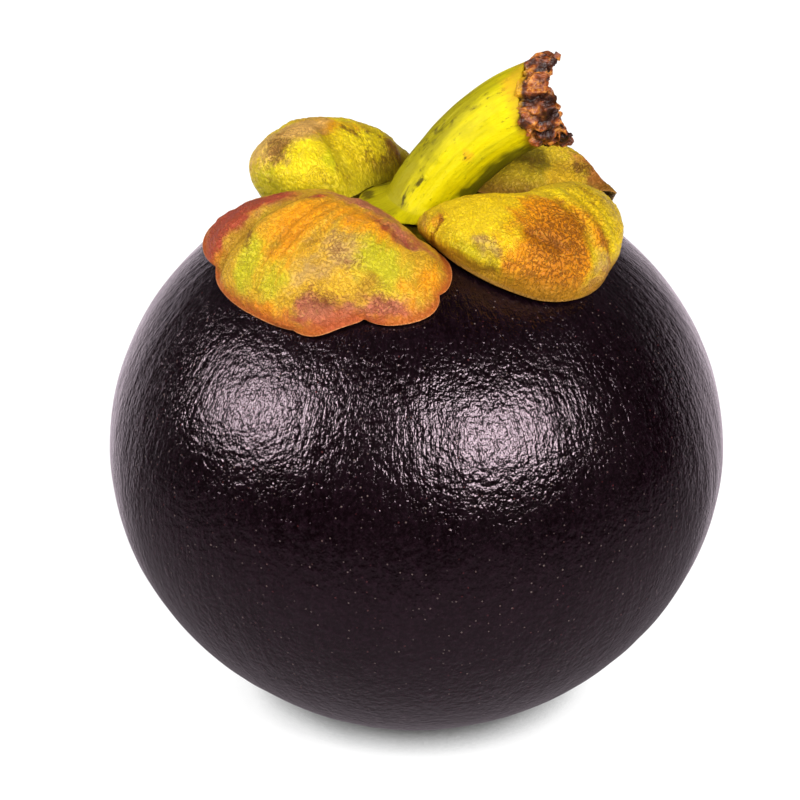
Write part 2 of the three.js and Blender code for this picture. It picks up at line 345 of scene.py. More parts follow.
def crease(place, start, end, width):
    """1 along the straight line from start to end, fading over the width."""
    sx, sy, ex, ey = *start, *end
    length = math.hypot(ex - sx, ey - sy)
    ux, uy = (ex - sx) / length, (ey - sy) / length
    dx, dy = place[0] - sx, place[1] - sy
    on_line = np.clip(dx * ux + dy * uy, 0, length)
    gap = np.hypot(dx - on_line * ux, dy - on_line * uy)
    return np.exp(-((gap / width) ** 2))


# What ripening, sun and rubbing left on each sepal, and on the back right one the painted
# shadow of the stem, in the hood's own millimetres, outward and sideways from its middle:
# (centre), (half-length, half-width), turn, strength.
STAINS = {
    "sepal_front_left": {
        "gold": [
            ((1.8, -1.8), (4.6, 2.6), 0, 1.1),
            ((-1.6, 3.6), (1.8, 3.6), 0, 1.0),
            ((-1.6, 11.2), (1.6, 1.4), 0, 1.0),
            ((2.4, 10.8), (2.4, 1.4), 0, 0.8),
            ((9.4, -1.6), (0.9, 4.0), 0, 0.8),
            ((4.4, -10.6), (1.2, 1.2), 0, 1.0),
        ],
        "green": [
            ((5.4, -4.8), (2.8, 2.0), 0, 1.2),
            ((6.6, -0.8), (2.0, 1.8), 0, 0.9),
            ((1.2, 6.9), (2.4, 3.2), 0, 1.3),
            ((1.4, -6.6), (1.2, 1.0), 0, 0.6),
        ],
        "flush": [
            ((1.0, -12.4), (4.8, 2.6), 0, 1.2),
            ((-1.0, -9.2), (1.6, 2.8), 20, 1.0),
            ((1.4, -9.4), (4.4, 1.2), 146, 1.0),
            ((-2.6, -4.4), (0.9, 3.2), 0, 0.35),
            ((-1.9, -3.6), (0.5, 1.2), 30, 0.9),
            ((-2.0, 5.2), (0.8, 2.2), 0, 0.7),
            ((4.4, 9.0), (0.9, 1.6), -15, 0.4),
            ((9.2, 3.2), (0.8, 2.2), -10, 0.7),
            ((-3.8, 8.0), (0.8, 3.0), 10, 0.6),
        ],
        "rose": [
            ((-3.8, 0.2), (0.9, 4.6), 0, 0.9),
            ((-3.0, 6.4), (1.0, 3.6), 15, 0.9),
            ((7.5, 4.8), (3.4, 1.3), 125, 1.3),
            ((3.6, 10.0), (3.0, 1.1), 136, 1.0),
            ((0.4, -10.8), (1.5, 1.3), 0, 0.8),
            ((-5.2, 1.9), (0.9, 3.2), 0, 0.9),
        ],
        "bloom": [
            ((2.0, 3.4), (2.4, 2.0), 30, 0.9),
            ((5.8, 1.9), (1.8, 1.8), 0, 0.8),
            ((-0.8, -6.8), (0.9, 2.4), 60, 0.6),
        ],
        "scuff": [
            ((6.4, 4.2), (2.4, 0.7), 130, 0.8),
            ((2.9, -6.2), (1.5, 0.8), 20, 0.9),
            ((1.9, 2.9), (1.6, 1.4), 20, 0.55),
            ((2.7, 5.0), (1.3, 0.8), 0, 0.55),
            ((3.7, 9.2), (1.0, 1.2), -15, 0.5),
            ((-2.4, 5.8), (0.5, 1.8), 0, 0.6),
        ],
    },
    "sepal_front_right": {
        "gold": [
            ((4.7, -1.7), (3.6, 3.3), 0, 1.3),
            ((5.2, -5.2), (2.8, 2.2), 0, 1.1),
            ((7.6, -3.4), (1.7, 3.2), 0, 1.4),
            ((4.6, -6.4), (2.4, 1.1), 0, 1.1),
            ((5.8, 3.6), (2.4, 1.1), 0, 0.7),
            ((2.4, 0.6), (2.2, 1.7), 0, 0.9),
            ((-5.6, -7.2), (1.2, 1.0), 45, 0.7),
        ],
        "green": [
            ((0.3, -8.2), (3.6, 1.0), 0, 1.1),
            ((4.8, 5.4), (2.4, 1.6), 0, 0.5),
            ((0.6, 3.6), (1.6, 1.6), 0, 0.6),
        ],
        "flush": [((-6.8, -6.2), (1.2, 1.9), 45, 0.6), ((8.0, -4.6), (0.8, 2.4), 30, 0.6)],
        "rose": [((8.6, 4.4), (1.0, 2.6), 20, 0.9), ((9.2, 1.2), (0.9, 2.0), 0, 0.6)],
        "bloom": [
            ((0.6, -6.9), (0.9, 0.8), 0, 0.9),
            ((8.4, 2.6), (1.2, 2.4), 20, 0.7),
            ((3.3, 8.2), (2.4, 0.9), -40, 0.7),
        ],
        "scuff": [
            ((3.8, -3.1), (1.5, 1.1), 20, 0.6),
            ((3.4, 0.9), (2.2, 1.4), 0, 0.6),
            ((6.2, 3.8), (2.4, 0.9), 10, 0.8),
            ((1.2, 6.8), (1.6, 0.8), 0, 0.6),
            ((4.8, -1.2), (2.8, 2.4), 0, 0.9),
            ((6.4, -3.4), (2.4, 2.8), 0, 0.8),
            ((4.4, -6.2), (2.0, 0.9), 40, 0.6),
            ((-4.9, -7.6), (0.35, 1.1), 10, 1.3),
            ((2.5, 4.8), (0.5, 0.5), 0, 1.1),
            ((0.8, -6.7), (0.6, 0.4), 0, 0.5),
        ],
    },
    "sepal_back_left": {
        "gold": [
            ((-0.2, 2.6), (1.9, 2.5), 0, 1.1),
            ((-1.6, 0.4), (1.2, 1.1), 0, 1.0),
            ((-2.4, -2.2), (0.8, 2.0), 0, 0.6),
            ((3.5, -2.0), (3.0, 3.0), 0, 0.8),
        ],
        "green": [
            ((1.4, 7.6), (2.4, 1.3), 0, 1.1),
            ((-4.4, 3.2), (0.9, 1.4), 45, 0.8),
            ((5.0, 3.0), (2.0, 3.0), 0, 0.8),
        ],
        "flush": [((-5.4, -5.4), (1.4, 1.3), 40, 0.9)],
        "rose": [((-1.6, -3.6), (0.6, 2.2), 0, 0.5)],
        "bloom": [((0.8, 4.2), (2.6, 2.4), 20, 1.3), ((-0.6, 1.6), (1.6, 2.2), 0, 0.9)],
        "scuff": [
            ((-0.3, 5.5), (1.3, 0.8), 20, 1.5),
            ((0.6, 4.0), (1.4, 1.2), 20, 0.5),
            ((-5.7, -4.4), (1.0, 1.5), 40, 0.9),
            ((-6.2, -2.6), (0.8, 1.1), 0, 0.8),
            ((-2.8, -1.2), (0.35, 0.6), 0, 1.0),
            ((-3.2, -2.8), (0.3, 0.5), 0, 1.0),
            ((-6.2, -0.8), (0.5, 2.2), 0, 0.8),
            ((-4.2, -1.4), (1.6, 0.4), 0, 0.6),
            ((-4.3, -3.8), (0.3, 0.5), 0, 1.0),
            ((-4.8, 5.2), (0.5, 0.5), 0, 0.8),
            ((-5.3, 3.2), (0.4, 0.6), 0, 0.8),
        ],
    },
    "sepal_back_right": {
        "gold": [((-0.6, -6.8), (2.2, 1.9), 10, 1.1), ((2.0, 0.0), (3.0, 4.0), 0, 0.8)],
        # The first green patch, dark olive next to the stem, is the stem's shadow painted on.
        "green": [((-3.4, -4.2), (2.0, 2.4), 0, 1.4), ((4.0, 5.0), (3.0, 3.0), 0, 0.8)],
        "flush": [((2.4, -9.4), (1.0, 1.2), 0, 0.8), ((-4.2, -6.0), (1.2, 1.6), 0, 0.3)],
        "rose": [((1.8, -7.6), (0.9, 2.8), 10, 1.2)],
        "bloom": [((1.0, -5.6), (1.4, 2.6), 15, 0.3)],
        "scuff": [
            ((0.8, -6.8), (0.3, 0.9), 30, 1.3),
            ((-3.8, -5.0), (1.2, 0.7), 0, 0.6),
            ((5.0, 0.0), (1.4, 2.6), 20, 0.7),
        ],
    },
}

# Folds in each hood: start and end in its own millimetres, width, and height (negative sinks).
FOLDS = {
    "sepal_front_left": [
        ((5.6, -9.9), (-1.6, -5.0), 1.0, -0.65),
        ((6.0, -6.6), (-0.6, -3.6), 0.9, 0.3),
        ((5.6, -3.2), (-2.6, -1.4), 0.4, -0.2),
        ((4.6, -1.6), (-2.8, 0.2), 0.35, -0.16),
        ((3.2, 0.4), (-2.6, 1.8), 0.4, -0.16),
        ((7.2, 2.4), (5.0, 5.4), 0.6, 0.3),
        ((8.2, 3.0), (5.6, 6.6), 0.5, -0.25),
        ((6.0, 7.4), (2.6, 7.2), 0.7, -0.3),
        ((-2.6, 3.2), (-2.4, 7.6), 0.5, -0.2),
    ],
    "sepal_front_right": [
        ((-5.2, -8.2), (-4.7, -6.6), 0.3, -0.25),
        ((0.2, 2.6), (8.4, 1.4), 0.6, -0.22),
        ((0.8, 3.5), (8.4, 2.6), 0.5, 0.2),
        ((1.2, 4.6), (7.4, 4.2), 0.35, -0.2),
        ((1.6, 5.6), (6.6, 6.0), 0.35, -0.18),
        ((-1.6, -8.4), (3.6, -6.6), 0.35, -0.2),
        ((-0.6, -7.6), (2.6, -7.9), 0.3, -0.16),
        ((2.6, -3.8), (5.2, -2.0), 0.5, -0.25),
    ],
    "sepal_back_left": [
        ((-1.2, 1.2), (-4.4, 2.6), 0.5, -0.35),
        ((-4.4, 2.6), (-5.8, 2.6), 0.5, -0.45),
        ((-0.4, 5.4), (0.6, 6.8), 0.4, -0.25),
        ((-1.0, 6.2), (0.2, 5.6), 0.3, -0.2),
    ],
    "sepal_back_right": [
        ((-2.0, -5.0), (1.6, -8.6), 0.9, -0.3),
        ((1.0, -6.3), (1.4, -7.2), 0.25, -0.15),
    ],
}
OUTER_SHARE = 0.68  # of a sepal's rows that lie on its outer face
FIBRE_RADIUS = 10  # mm from the axis, where the ribs are RIB_SPACING apart
RIB_SPACING = 0.9  # mm, between the fine ribs that run outwards from the stem
RIB_BENDS = 0.12  # how often a rib swells and bends on each mm of its way
RIB_DEPTH = {
    "sepal_front_left": 0.09,
    "sepal_front_right": 0.05,
    "sepal_back_left": 0.2,
    "sepal_back_right": 0.08,
}
LEATHER_SPACING = 0.6  # mm, between the pebbles of the leathery skin
LEATHER_DEPTH = 0.1
LEATHER_RISE = 2.2  # how steeply a pebble rises from its seams
LEATHER_FIELD = 2.3  # mm, between the fields where the pebbles stand out more
DENT_SPACING = 2.6
DENT_DEPTH = {
    "sepal_front_left": 0.15,
    "sepal_front_right": 0.12,
    "sepal_back_left": 0.07,
    "sepal_back_right": 0.1,
}
MARGIN_CALM = (0.92, 1.02)  # the relief fades out over these shares of the way to the margin
WRINKLE_DEPTH = 0.05  # of the wrinkles inside a sepal
WRINKLE_BENDS = 0.2  # how often one swells and bends on each mm of its way
STAIN_WARP = 0.8  # mm, how far a stain's outline wanders
STAIN_WAVES = 2.4  # mm, between the bends of its outline
HOLLOW_SHADE_DEPTH = 0.4  # mm under the smooth skin, where a hollow has all its painted shade


def hood_grid(name, rind, rows, columns):
    """The whole closed hood: its outer face from the middle to the margin, then its inner one
    back to the middle, which lies under the outer face by the thickness, less at the margin.
    Relief along the normals is folds, ribs that run outwards, leather pebbles and dents."""
    hood = HOODS[name]
    outer_rows = int(rows * OUTER_SHARE)
    row = (np.arange(outer_rows) + 0.5) / (outer_rows - 0.5)
    share, direction = grid_of(1 - (1 - row) ** MARGIN_CROWDING, columns)
    face, outward, sideways, along, bearing = hood_face(hood, rind, share, direction)
    normals = grid_normals(face)
    across = (bearing - math.radians(hood["bearing"]) + math.pi) % TURN - math.pi
    fibre = np.stack([across * FIBRE_RADIUS, along, share * 0], -1)
    place = (outward, sideways)
    body = np.stack([outward, sideways, face[..., 2]], -1)
    relief = sum(
        height * crease(place, start, end, width) for start, end, width, height in FOLDS[name]
    )
    ribs = smooth_noise(fibre * [1 / RIB_SPACING, RIB_BENDS, 1] + [0, 0, 5.5], 11)
    relief = relief + RIB_DEPTH[name] * ribs
    _, seam = pebbles(body / LEATHER_SPACING, 21)
    leather = np.minimum(seam * LEATHER_RISE, 1)
    leather = leather * (0.6 + 0.4 * smooth_noise(body / LEATHER_FIELD, 31))
    relief = relief + LEATHER_DEPTH * (leather - 1)
    relief = relief + DENT_DEPTH[name] * layered_noise(body / DENT_SPACING, 3, 41)
    relief = relief * (1 - smooth_step(*MARGIN_CALM, share))
    outer = face + normals * relief[..., None]
    inner_rows = rows - outer_rows
    pick = np.linspace(outer_rows - 1, 0, inner_rows + 1).round().astype(int)[1:]
    thickness = hood["thickness"] * np.sqrt(1 - share[pick] ** MARGIN_POWER)
    wrinkles = smooth_noise(fibre[pick] * [1 / RIB_SPACING, WRINKLE_BENDS, 1], 51)
    thickness = thickness + WRINKLE_DEPTH * wrinkles * smooth_step(1, 0.8, share[pick])
    inner = face[pick] - normals[pick] * thickness[..., None]
    warp = [STAIN_WARP * layered_noise(body / STAIN_WAVES, 4, seed) for seed in (61, 71)]
    warped = (outward + warp[0], sideways + warp[1])
    marks = {
        stain: sum(strength * patch(warped, *where) for *where, strength in places)
        for stain, places in STAINS[name].items()
    }
    reach = around_ring(direction, hood["reach"])
    marks["margin"] = (1 - share) * reach
    # Painted shade: the deeper the relief sinks, the darker the hollow is painted.
    marks["hollow_shade"] = np.clip(-relief / HOLLOW_SHADE_DEPTH, 0, 1)
    marks["fibre"] = fibre
    whole = {
        key: np.concatenate([values, values[pick]], axis=0) for key, values in marks.items()
    }
    whole["inside"] = np.concatenate([share * 0, share[pick] * 0 + 1], axis=0)
    return np.concatenate([outer, inner], axis=0), whole


# ---- The stem and its torn end ----

# How far along the stem's line the torn end begins, at equal steps of side from the front, and
# how far its rim reaches: a lump above, a bite under it, a knob below.
TORN_EDGE = [
    0.785, 0.785, 0.79, 0.8, 0.815, 0.82, 0.825, 0.83, 0.83, 0.84, 0.85, 0.857, 0.857, 0.84, 0.815, 0.795
]
TORN_RIM = [
    0.925, 0.935, 0.955, 0.96, 0.94, 0.925, 0.92, 0.92, 0.905, 0.915, 0.945, 0.95, 0.945, 0.935, 0.905, 0.905
]
TORN_MIDDLE = 0.82  # where the middle of its foot lies
TORN_FLOOR = 0.87  # and the middle of its hollow
STEM_FOOT_X = 0.4  # mm off the fruit's axis
# The knots of the stem's middle line, from its foot.
STEM_LINE = [[0, 0, 0], [1.5, 0, 2.2], [6, 0, 10.7], [15, 0, 11.6]]
LEVEL_SHARE = 0.15  # below this share of the line the sections turn level
COLLAR_RADIUS = 5.5
# The collar is wider and higher towards the back left, where side is COLLAR_SIDE. Its height is
# a share of the stem's line, and grows from the low one to the high one.
COLLAR_BULGE = 0.11
COLLAR_SIDE = math.radians(240)
COLLAR_LOW = 0.05
COLLAR_HIGH = 0.125
COLLAR_SOFTNESS = 1.1  # how softly the stem grows out of it
FLARE = 0.9  # mm: how much the stem itself widens at its foot
FLARE_SHARE = 0.09  # and over what share of its line
RIDGES = 5  # soft ridges along the stem
RIDGE_DEPTH = 0.025  # as a share of the stem's radius
RIDGE_SIDE = 0.6  # turns them round the stem


class StemShape:
    """The stem: its middle line is a cubic Bezier curve that leans towards +X, and its section
    is a circle with a low collar at the foot and a few soft ridges."""

    def __init__(self, radius, tip_radius):
        self.radius, self.tip_radius = radius, tip_radius
        self.knots = np.array([STEM_FOOT_X, 0, STEM_LOW[2]]) + np.array(STEM_LINE)

    def section(self, t):
        """The section's middle at a share t of the line, and the direction across the line
        that points under it. At the foot the sections lie level."""
        a, b, c, d = self.knots
        t = np.asarray(t)[..., None]
        middle = (1 - t) ** 3 * a + 3 * (1 - t) ** 2 * t * b + 3 * (1 - t) * t**2 * c + t**3 * d
        axis = (1 - t) ** 2 * (b - a) + 2 * (1 - t) * t * (c - b) + t**2 * (d - c)
        axis = axis / np.linalg.norm(axis, axis=-1, keepdims=True)
        level = np.exp(-((t / LEVEL_SHARE) ** 4))
        axis = axis * (1 - level) + np.array([0, 0, 1]) * level
        axis = axis / np.linalg.norm(axis, axis=-1, keepdims=True)
        return middle, np.cross(axis, [0.0, -1.0, 0.0])

    def point(self, t, side, share=1.0):
        """A point of the section, side 0 facing -Y and a quarter turn facing down."""
        middle, under = self.section(t)
        towards = np.cos(side - COLLAR_SIDE)
        collar_end = COLLAR_LOW + (COLLAR_HIGH - COLLAR_LOW) * (1 + towards) / 2
        collar = COLLAR_RADIUS * (1 + COLLAR_BULGE * towards)
        collar = collar * np.sqrt(1 - np.clip(t / collar_end, 0, 1) ** 2)
        ridges = RIDGE_DEPTH * np.cos(RIDGES * side + RIDGE_SIDE) * np.clip(t / LEVEL_SHARE, 0, 1)
        flare = FLARE * np.exp(-((t / FLARE_SHARE) ** 2))
        radius = (self.radius + flare + (self.tip_radius - self.radius) * t) * (1 + ridges)
        radius = -soft_minimum(-radius, -collar, COLLAR_SOFTNESS) * share
        across = (radius * np.cos(side))[..., None] * np.array([0.0, -1.0, 0.0])
        return middle + across + (radius * np.sin(side))[..., None] * under


# The stem's marks, as those of the sepals, but at a side (degrees round from the front, by
# way of the underside) and a share of its line. The shade patches, and the green ones near a
# quarter turn, lie on the underside: they are painted shade.
STEM_STAINS = {
    # Olive: on the upper side and round the collar the stem's own, at sides 60 and 75 on the underside
    # painted shade.
    "green": [
        ((280, 0.36), (42, 0.5), 0, 1.1),
        ((75, 0.5), (36, 0.6), 0, 1.2),
        ((60, 0.34), (20, 0.22), 0, 0.9),
        ((240, 0.04), (80, 0.07), 0, 1.6),
    ],
    "gold": [((352, 0.50), (9, 0.035), 0, 0.9), ((305, 0.80), (30, 0.05), 0, 0.8)],
    # Painted shade on the underside.
    "shade": [
        ((84, 0.30), (50, 0.5), 0, 1.6),
        ((60, 0.32), (14, 0.1), 0, 0.6),
        ((78, 0.75), (26, 0.3), 0, 1.2),
    ],
    "scuff": [
        ((350, 0.485), (2.5, 0.012), 0, 1.1),
        ((322, 0.22), (4, 0.05), 0, 0.9),
        ((314, 0.13), (3, 0.05), 0, 0.9),
        ((290, 0.45), (16, 0.12), 0, 0.45),
        ((300, 0.62), (12, 0.07), 0, 0.35),
        ((275, 0.3), (10, 0.1), 0, 0.35),
        ((215, 0.1), (14, 0.02), 0, 0.8),
        ((262, 0.05), (10, 0.03), 0, 0.9),
        ((238, 0.07), (7, 0.02), 0, 0.8),
    ],
}
STEM_CROWDING = 1.2  # the stem's rows crowd towards its foot
CAP_ROWS = 7  # rows that close the stem at each end
STEM_SKIN_RADIUS = 3.8  # mm, of the even tube on which the stem's relief is laid out
BEND_STRETCH = 1.1  # the length of its line over the distance between its ends
# Its relief, from shallow ribs to fine ones, then soft dents: height (mm), waves on each mm
# round the stem and along it, and how many layers.
STEM_RELIEF = [(0.15, 0.8, 0.08, 1), (0.035, 2.4, 0.2, 1), (0.12, 0.4, 0.25, 2)]
STEM_STAIN_WAVES = 1.1  # mm, between the bends of a stain's outline
STEM_STAIN_WARP = (6, 0.012)  # how far the outline wanders, in degrees and as a share


def stem_grid(stem, rows, columns):
    """The green stem: sections carried along its line, with flat caps, fine fibres along it
    and soft dents."""
    row = np.arange(rows)
    climb = np.clip((row + 1 - CAP_ROWS) / (rows + 1 - 2 * CAP_ROWS), 0, 1) ** STEM_CROWDING
    cap = np.minimum((row + 1) / CAP_ROWS, 1) * np.minimum((rows - row) / CAP_ROWS, 1)
    climb, side = grid_of(climb, columns)
    t = climb * (TORN_MIDDLE + (around_ring(side, TORN_EDGE) - TORN_MIDDLE) * cap[:, None])
    points = stem.point(t, side, np.repeat(cap[:, None], columns, 1))
    points, t, side, cap, climb = points[::-1], t[::-1], side[::-1], cap[::-1], climb[::-1]
    normals = grid_normals(points)
    length = np.linalg.norm(stem.knots[3] - stem.knots[0]) * BEND_STRETCH
    skin = round_axis(side, STEM_SKIN_RADIUS, t * length)
    relief = sum(
        height * layered_noise(skin * [across, across, along], layers, seed)
        for seed, (height, across, along, layers) in enumerate(STEM_RELIEF, 7)
    )
    relief = relief * (cap >= 1)[:, None] * smooth_step(1, 0.96, climb)
    warp = layered_noise(skin / STEM_STAIN_WAVES, 3, 19)
    warped_side = np.degrees(side) + STEM_STAIN_WARP[0] * warp
    warped_t = t + STEM_STAIN_WARP[1] * warp
    # Each patch is drawn three times, a full turn apart, so that it also crosses the front.
    marks = {
        stain: sum(
            strength * patch((warped_side + full_turn, warped_t), *where)
            for *where, strength in places
            for full_turn in (-360, 0, 360)
        )
        for stain, places in STEM_STAINS.items()
    }
    marks["fibre"] = skin
    marks["torn"] = climb
    return points + normals * relief[..., None], marks


TORN_SWELL = [1.02, 1.03, 1.03, 1, 1, 0.98, 0.9, 0.97]  # how proud of the stem it stands, round it
TORN_HOLLOW = 0.6  # how deep the end is hollowed, as a share of the torn end's length
TORN_FRAYS = 9  # small waves round the rim
FRAY_REACH = 0.006  # their depth along the line
FRAY_SWELL = 0.025  # and outwards, as a share of the radius
FRAY_LAG = 1  # the outward waves stand this far (radians) behind the others
TORN_ROUND = 0.06  # how far its wall bulges, as a share of the radius
TORN_WALL = (0.35, 0.8)  # the rows, as shares, where its outer wall begins and ends
CRUST_RADIUS = 4.4  # mm, of the even tube on which its relief is laid out
CRUST_LENGTH = 22  # of that tube, for the whole of the stem's line
CRUST_WARP = 0.6  # how far the lumps are pushed out of line
CRUST_WARP_SPACING = 1.7  # between one push and the next
LUMP_SPACING = (2.1, 2.1, 3.6)  # mm, round the stem and along it
LUMP_HEIGHT = 0.75
FOLD_HEIGHT = 0.3
FOLD_STRETCH = 0.3  # less draws the folds out longer
GRAIN_SPACING = 0.5
GRAIN_HEIGHT = 0.1
# The strip of skin that is still fresh: its middle and its half-sizes, as a side (degrees) and a
# share of the way from the wall's foot to the rim.
FRESH_PLACE = (310, 0)
FRESH_SIZE = (36, 0.4333)


def torn_grid(stem, rows, columns):
    """The dried, torn end: from a hollow in its middle over a ragged rim and down a lumpy
    wall to the green stem. Its relief is folded lumps, drawn out along the stem, with
    wrinkles and grain on them."""
    wall_top, wall_foot = TORN_WALL
    fall, side = grid_of((np.arange(rows) + 0.5) / rows, columns)
    edge = around_ring(side, TORN_EDGE)
    rim = around_ring(side, TORN_RIM) + FRAY_REACH * np.cos(TORN_FRAYS * side)
    swell = around_ring(side, TORN_SWELL) + FRAY_SWELL * np.cos(TORN_FRAYS * side + FRAY_LAG)
    climb = np.clip((wall_foot - fall) / (wall_foot - wall_top), 0, 1)
    outward = np.clip(fall / wall_top, 0, 1)
    foot = np.clip((1 - fall) / (1 - wall_foot), 0, 1)
    floor = rim - (rim - edge) * TORN_HOLLOW * (1 - outward**2)
    hollow = fall < wall_top
    t = np.where(hollow, TORN_FLOOR + (floor - TORN_FLOOR) * outward, edge + (rim - edge) * climb)
    t = TORN_MIDDLE + (t - TORN_MIDDLE) * np.where(hollow, 1, foot)
    bulge = TORN_ROUND * np.sin(climb * math.pi) * (fall < wall_foot)
    share = np.where(hollow, swell * outward, swell + bulge)
    points = stem.point(t, side, share * foot)
    normals = grid_normals(points)
    crust = round_axis(side, CRUST_RADIUS, t * CRUST_LENGTH)
    push = [layered_noise(crust / CRUST_WARP_SPACING, 2, seed) for seed in (3, 4, 5)]
    crust = crust + CRUST_WARP * np.stack(push, -1)
    near, seam = pebbles(crust / LUMP_SPACING, 13)
    lumps = np.sqrt(np.clip(1 - 1.1 * near**2, 0, 1)) * (0.45 + 0.55 * smooth_step(0, 0.3, seam))
    folds = 1 - 2 * np.abs(layered_noise(crust * [1.0, 1.0, FOLD_STRETCH], 3, 33))
    relief = LUMP_HEIGHT * (lumps - 0.5) + FOLD_HEIGHT * (folds - 0.5)
    relief = relief + GRAIN_HEIGHT * layered_noise(points / GRAIN_SPACING, 2, 23)
    relief = relief * smooth_step(0, 0.25, foot) * smooth_step(0.02, 0.2, fall)
    fresh = patch((np.degrees(side), climb), FRESH_PLACE, FRESH_SIZE, 0)
    marks = {
        # Painted shade: darker between the lumps and in the creases of the folds.
        "crevice_shade": 1 - lumps * (0.4 + 0.6 * np.clip(folds, 0, 1)),
        "fresh": fresh * smooth_step(0.5, 0.0, climb) * (fall > wall_top),
        "hollow": smooth_step(wall_top, wall_top * 0.7, fall),
    }
    return points + normals * relief[..., None], marks


# ---- The stigma rosette ----

ROSETTE_LOBES = 6
ROSETTE_NICKS = 0.68  # the radius between two lobes, as a share of the tips'
LOBE_ROUNDNESS = 0.6  # less makes the lobes blunter
EDGE_POWER = 10  # more makes the disc's rim squarer
CLEFT_DEPTH = 0.28  # mm, between the lobes
CRACK_DEPTH = 0.1
CRACK_RADIUS = 6  # mm from the axis, where the cracks are about 1 mm apart
CRACK_STRETCH = 0.3  # less draws the cracks out longer
CORK_SPACING = 0.6
CORK_DEPTH = 0.06


def rosette_grid(radius, rows, columns):
    """The woody rosette that the fruit stands on: a flat disc, half its thickness times
    sqrt(1 - share^10) to each side, with a lobed outline, clefts between the lobes and
    cracks that run outwards. The relief is cut into both of its faces."""
    low, high = ROSETTE_LOW[2], ROSETTE_HIGH[2]
    fall, direction = grid_of((np.arange(rows) + 0.5) / rows, columns)
    lobe = np.abs(np.cos(ROSETTE_LOBES / 2 * direction)) ** LOBE_ROUNDNESS
    share = np.sin(fall * math.pi)
    distance = radius * (ROSETTE_NICKS + (1 - ROSETTE_NICKS) * lobe) * share
    side = np.sign(0.5 - fall)
    height = (low + high) / 2 + side * (high - low) / 2 * np.sqrt(1 - share**EDGE_POWER)
    spot = round_axis(direction, distance, height)
    crack_place = round_axis(direction, CRACK_RADIUS, distance * CRACK_STRETCH)
    cleft = (1 - lobe) * smooth_step(0.15, 0.6, share)
    cracks = smooth_step(0.22, 0.0, np.abs(smooth_noise(crack_place, 3)))
    grain = 0.5 + 0.5 * layered_noise(spot / CORK_SPACING, 3, 5)
    depth = CLEFT_DEPTH * cleft + CRACK_DEPTH * cracks + CORK_DEPTH * grain
    spot[..., 2] -= side * depth * smooth_step(1.0, 0.93, share)
    # Painted shade in the clefts between the lobes and in the cracks.
    return spot, {"crevice_shade": np.clip(cleft + cracks, 0, 1)}


# ---- Meshes ----


def closed_mesh(name, rings, marks):
    """An object whose skin runs through rings of points from the top down, closed with a
    point at each end. The marks are kept as attributes of its points."""
    down, around = rings.shape[:2]
    last = down * around + 1
    ring = np.arange(around)
    following = (ring + 1) % around
    upper = 1 + np.arange(down - 1)[:, None] * around
    quads = np.stack(
        [upper + ring, upper + around + ring, upper + around + following, upper + following], -1
    ).reshape(-1, 4)
    top = np.stack([ring * 0, 1 + ring, 1 + following], -1)
    bottom = np.stack([ring * 0 + last, last - around + following, last - around + ring], -1)
    loops = np.concatenate([top.ravel(), quads.ravel(), bottom.ravel()])
    sizes = np.concatenate([np.full(around, 3), np.full(len(quads), 4), np.full(around, 3)])

    def with_poles(values):
        """Every ring's values, between the first ring's mean and the last ring's mean."""
        flat = values.reshape(down * around, -1)
        return np.vstack([values[0].mean(axis=0), flat, values[-1].mean(axis=0)])

    mesh = bpy.data.meshes.new(name)
    mesh.vertices.add(last + 1)
    mesh.vertices.foreach_set("co", (with_poles(rings) * MM).ravel())
    mesh.loops.add(len(loops))
    mesh.loops.foreach_set("vertex_index", loops)
    mesh.polygons.add(len(sizes))
    mesh.polygons.foreach_set("loop_start", np.concatenate([[0], np.cumsum(sizes)[:-1]]))
    mesh.polygons.foreach_set("use_smooth", np.ones(len(sizes), bool))
    mesh.update(calc_edges=True)
    mesh.validate()
    for key, values in marks.items():
        vector = values.ndim == 3
        attribute = mesh.attributes.new(key, "FLOAT_VECTOR" if vector else "FLOAT", "POINT")
        values = with_poles(values if vector else values[..., None])
        attribute.data.foreach_set("vector" if vector else "value", values.ravel())
    piece = bpy.data.objects.new(name, mesh)
    bpy.context.scene.collection.objects.link(piece)
    return piece


# ---- Materials ----
#
# A noise's scale is one over a size in metres. The marks "meridian" and "fibre" hold places in
# millimetres, so what they are multiplied by is how many waves there are on each millimetre.

STEP = {"interpolation_type": "SMOOTHSTEP"}
STAIN_BEGINS = 0.15  # the strength of a mark where its stain begins to show
PORE_SPACING = 0.6 * MM


def linear(code):
    """A colour written as sRGB hex, as the linear red, green, blue and alpha of a shader."""
    levels = [int(code[i : i + 2], 16) / 255 for i in (1, 3, 5)]
    return [x / 12.92 if x <= 0.04045 else ((x + 0.055) / 1.055) ** 2.4 for x in levels] + [1.0]


def add_node(tree, kind, inputs=(), output=0, **settings):
    """Adds a node with its settings, gives each of its inputs a value or links a socket to
    it, and returns one of its outputs."""
    node = tree.nodes.new("ShaderNode" + kind)
    for key, value in settings.items():
        setattr(node, key, value)
    for key, value in dict(inputs).items():
        if isinstance(value, bpy.types.NodeSocket):
            tree.links.new(value, node.inputs[key])
        else:
            node.inputs[key].default_value = value
    return node.outputs[output]


def new_material(name):
    """An empty node material: its tree and its Principled shader."""
    material = bpy.data.materials.new(name)
    material.use_nodes = True
    tree = material.node_tree
    return material, tree, tree.nodes["Principled BSDF"]


def painted(tree, colour, *coats):
    """The colour under coats of paint. Each is a colour, the pattern that it follows, the
    pattern's values where it begins and where it is full, and how well it covers."""
    for tone, pattern, begins, full, cover in coats:
        factor = add_node(tree, "MapRange", {0: pattern, 1: begins, 2: full, 3: 0.0, 4: cover}, **STEP)
        colour = add_node(tree, "Mix", {0: factor, 6: colour, 7: tone}, 2, data_type="RGBA")
    return colour


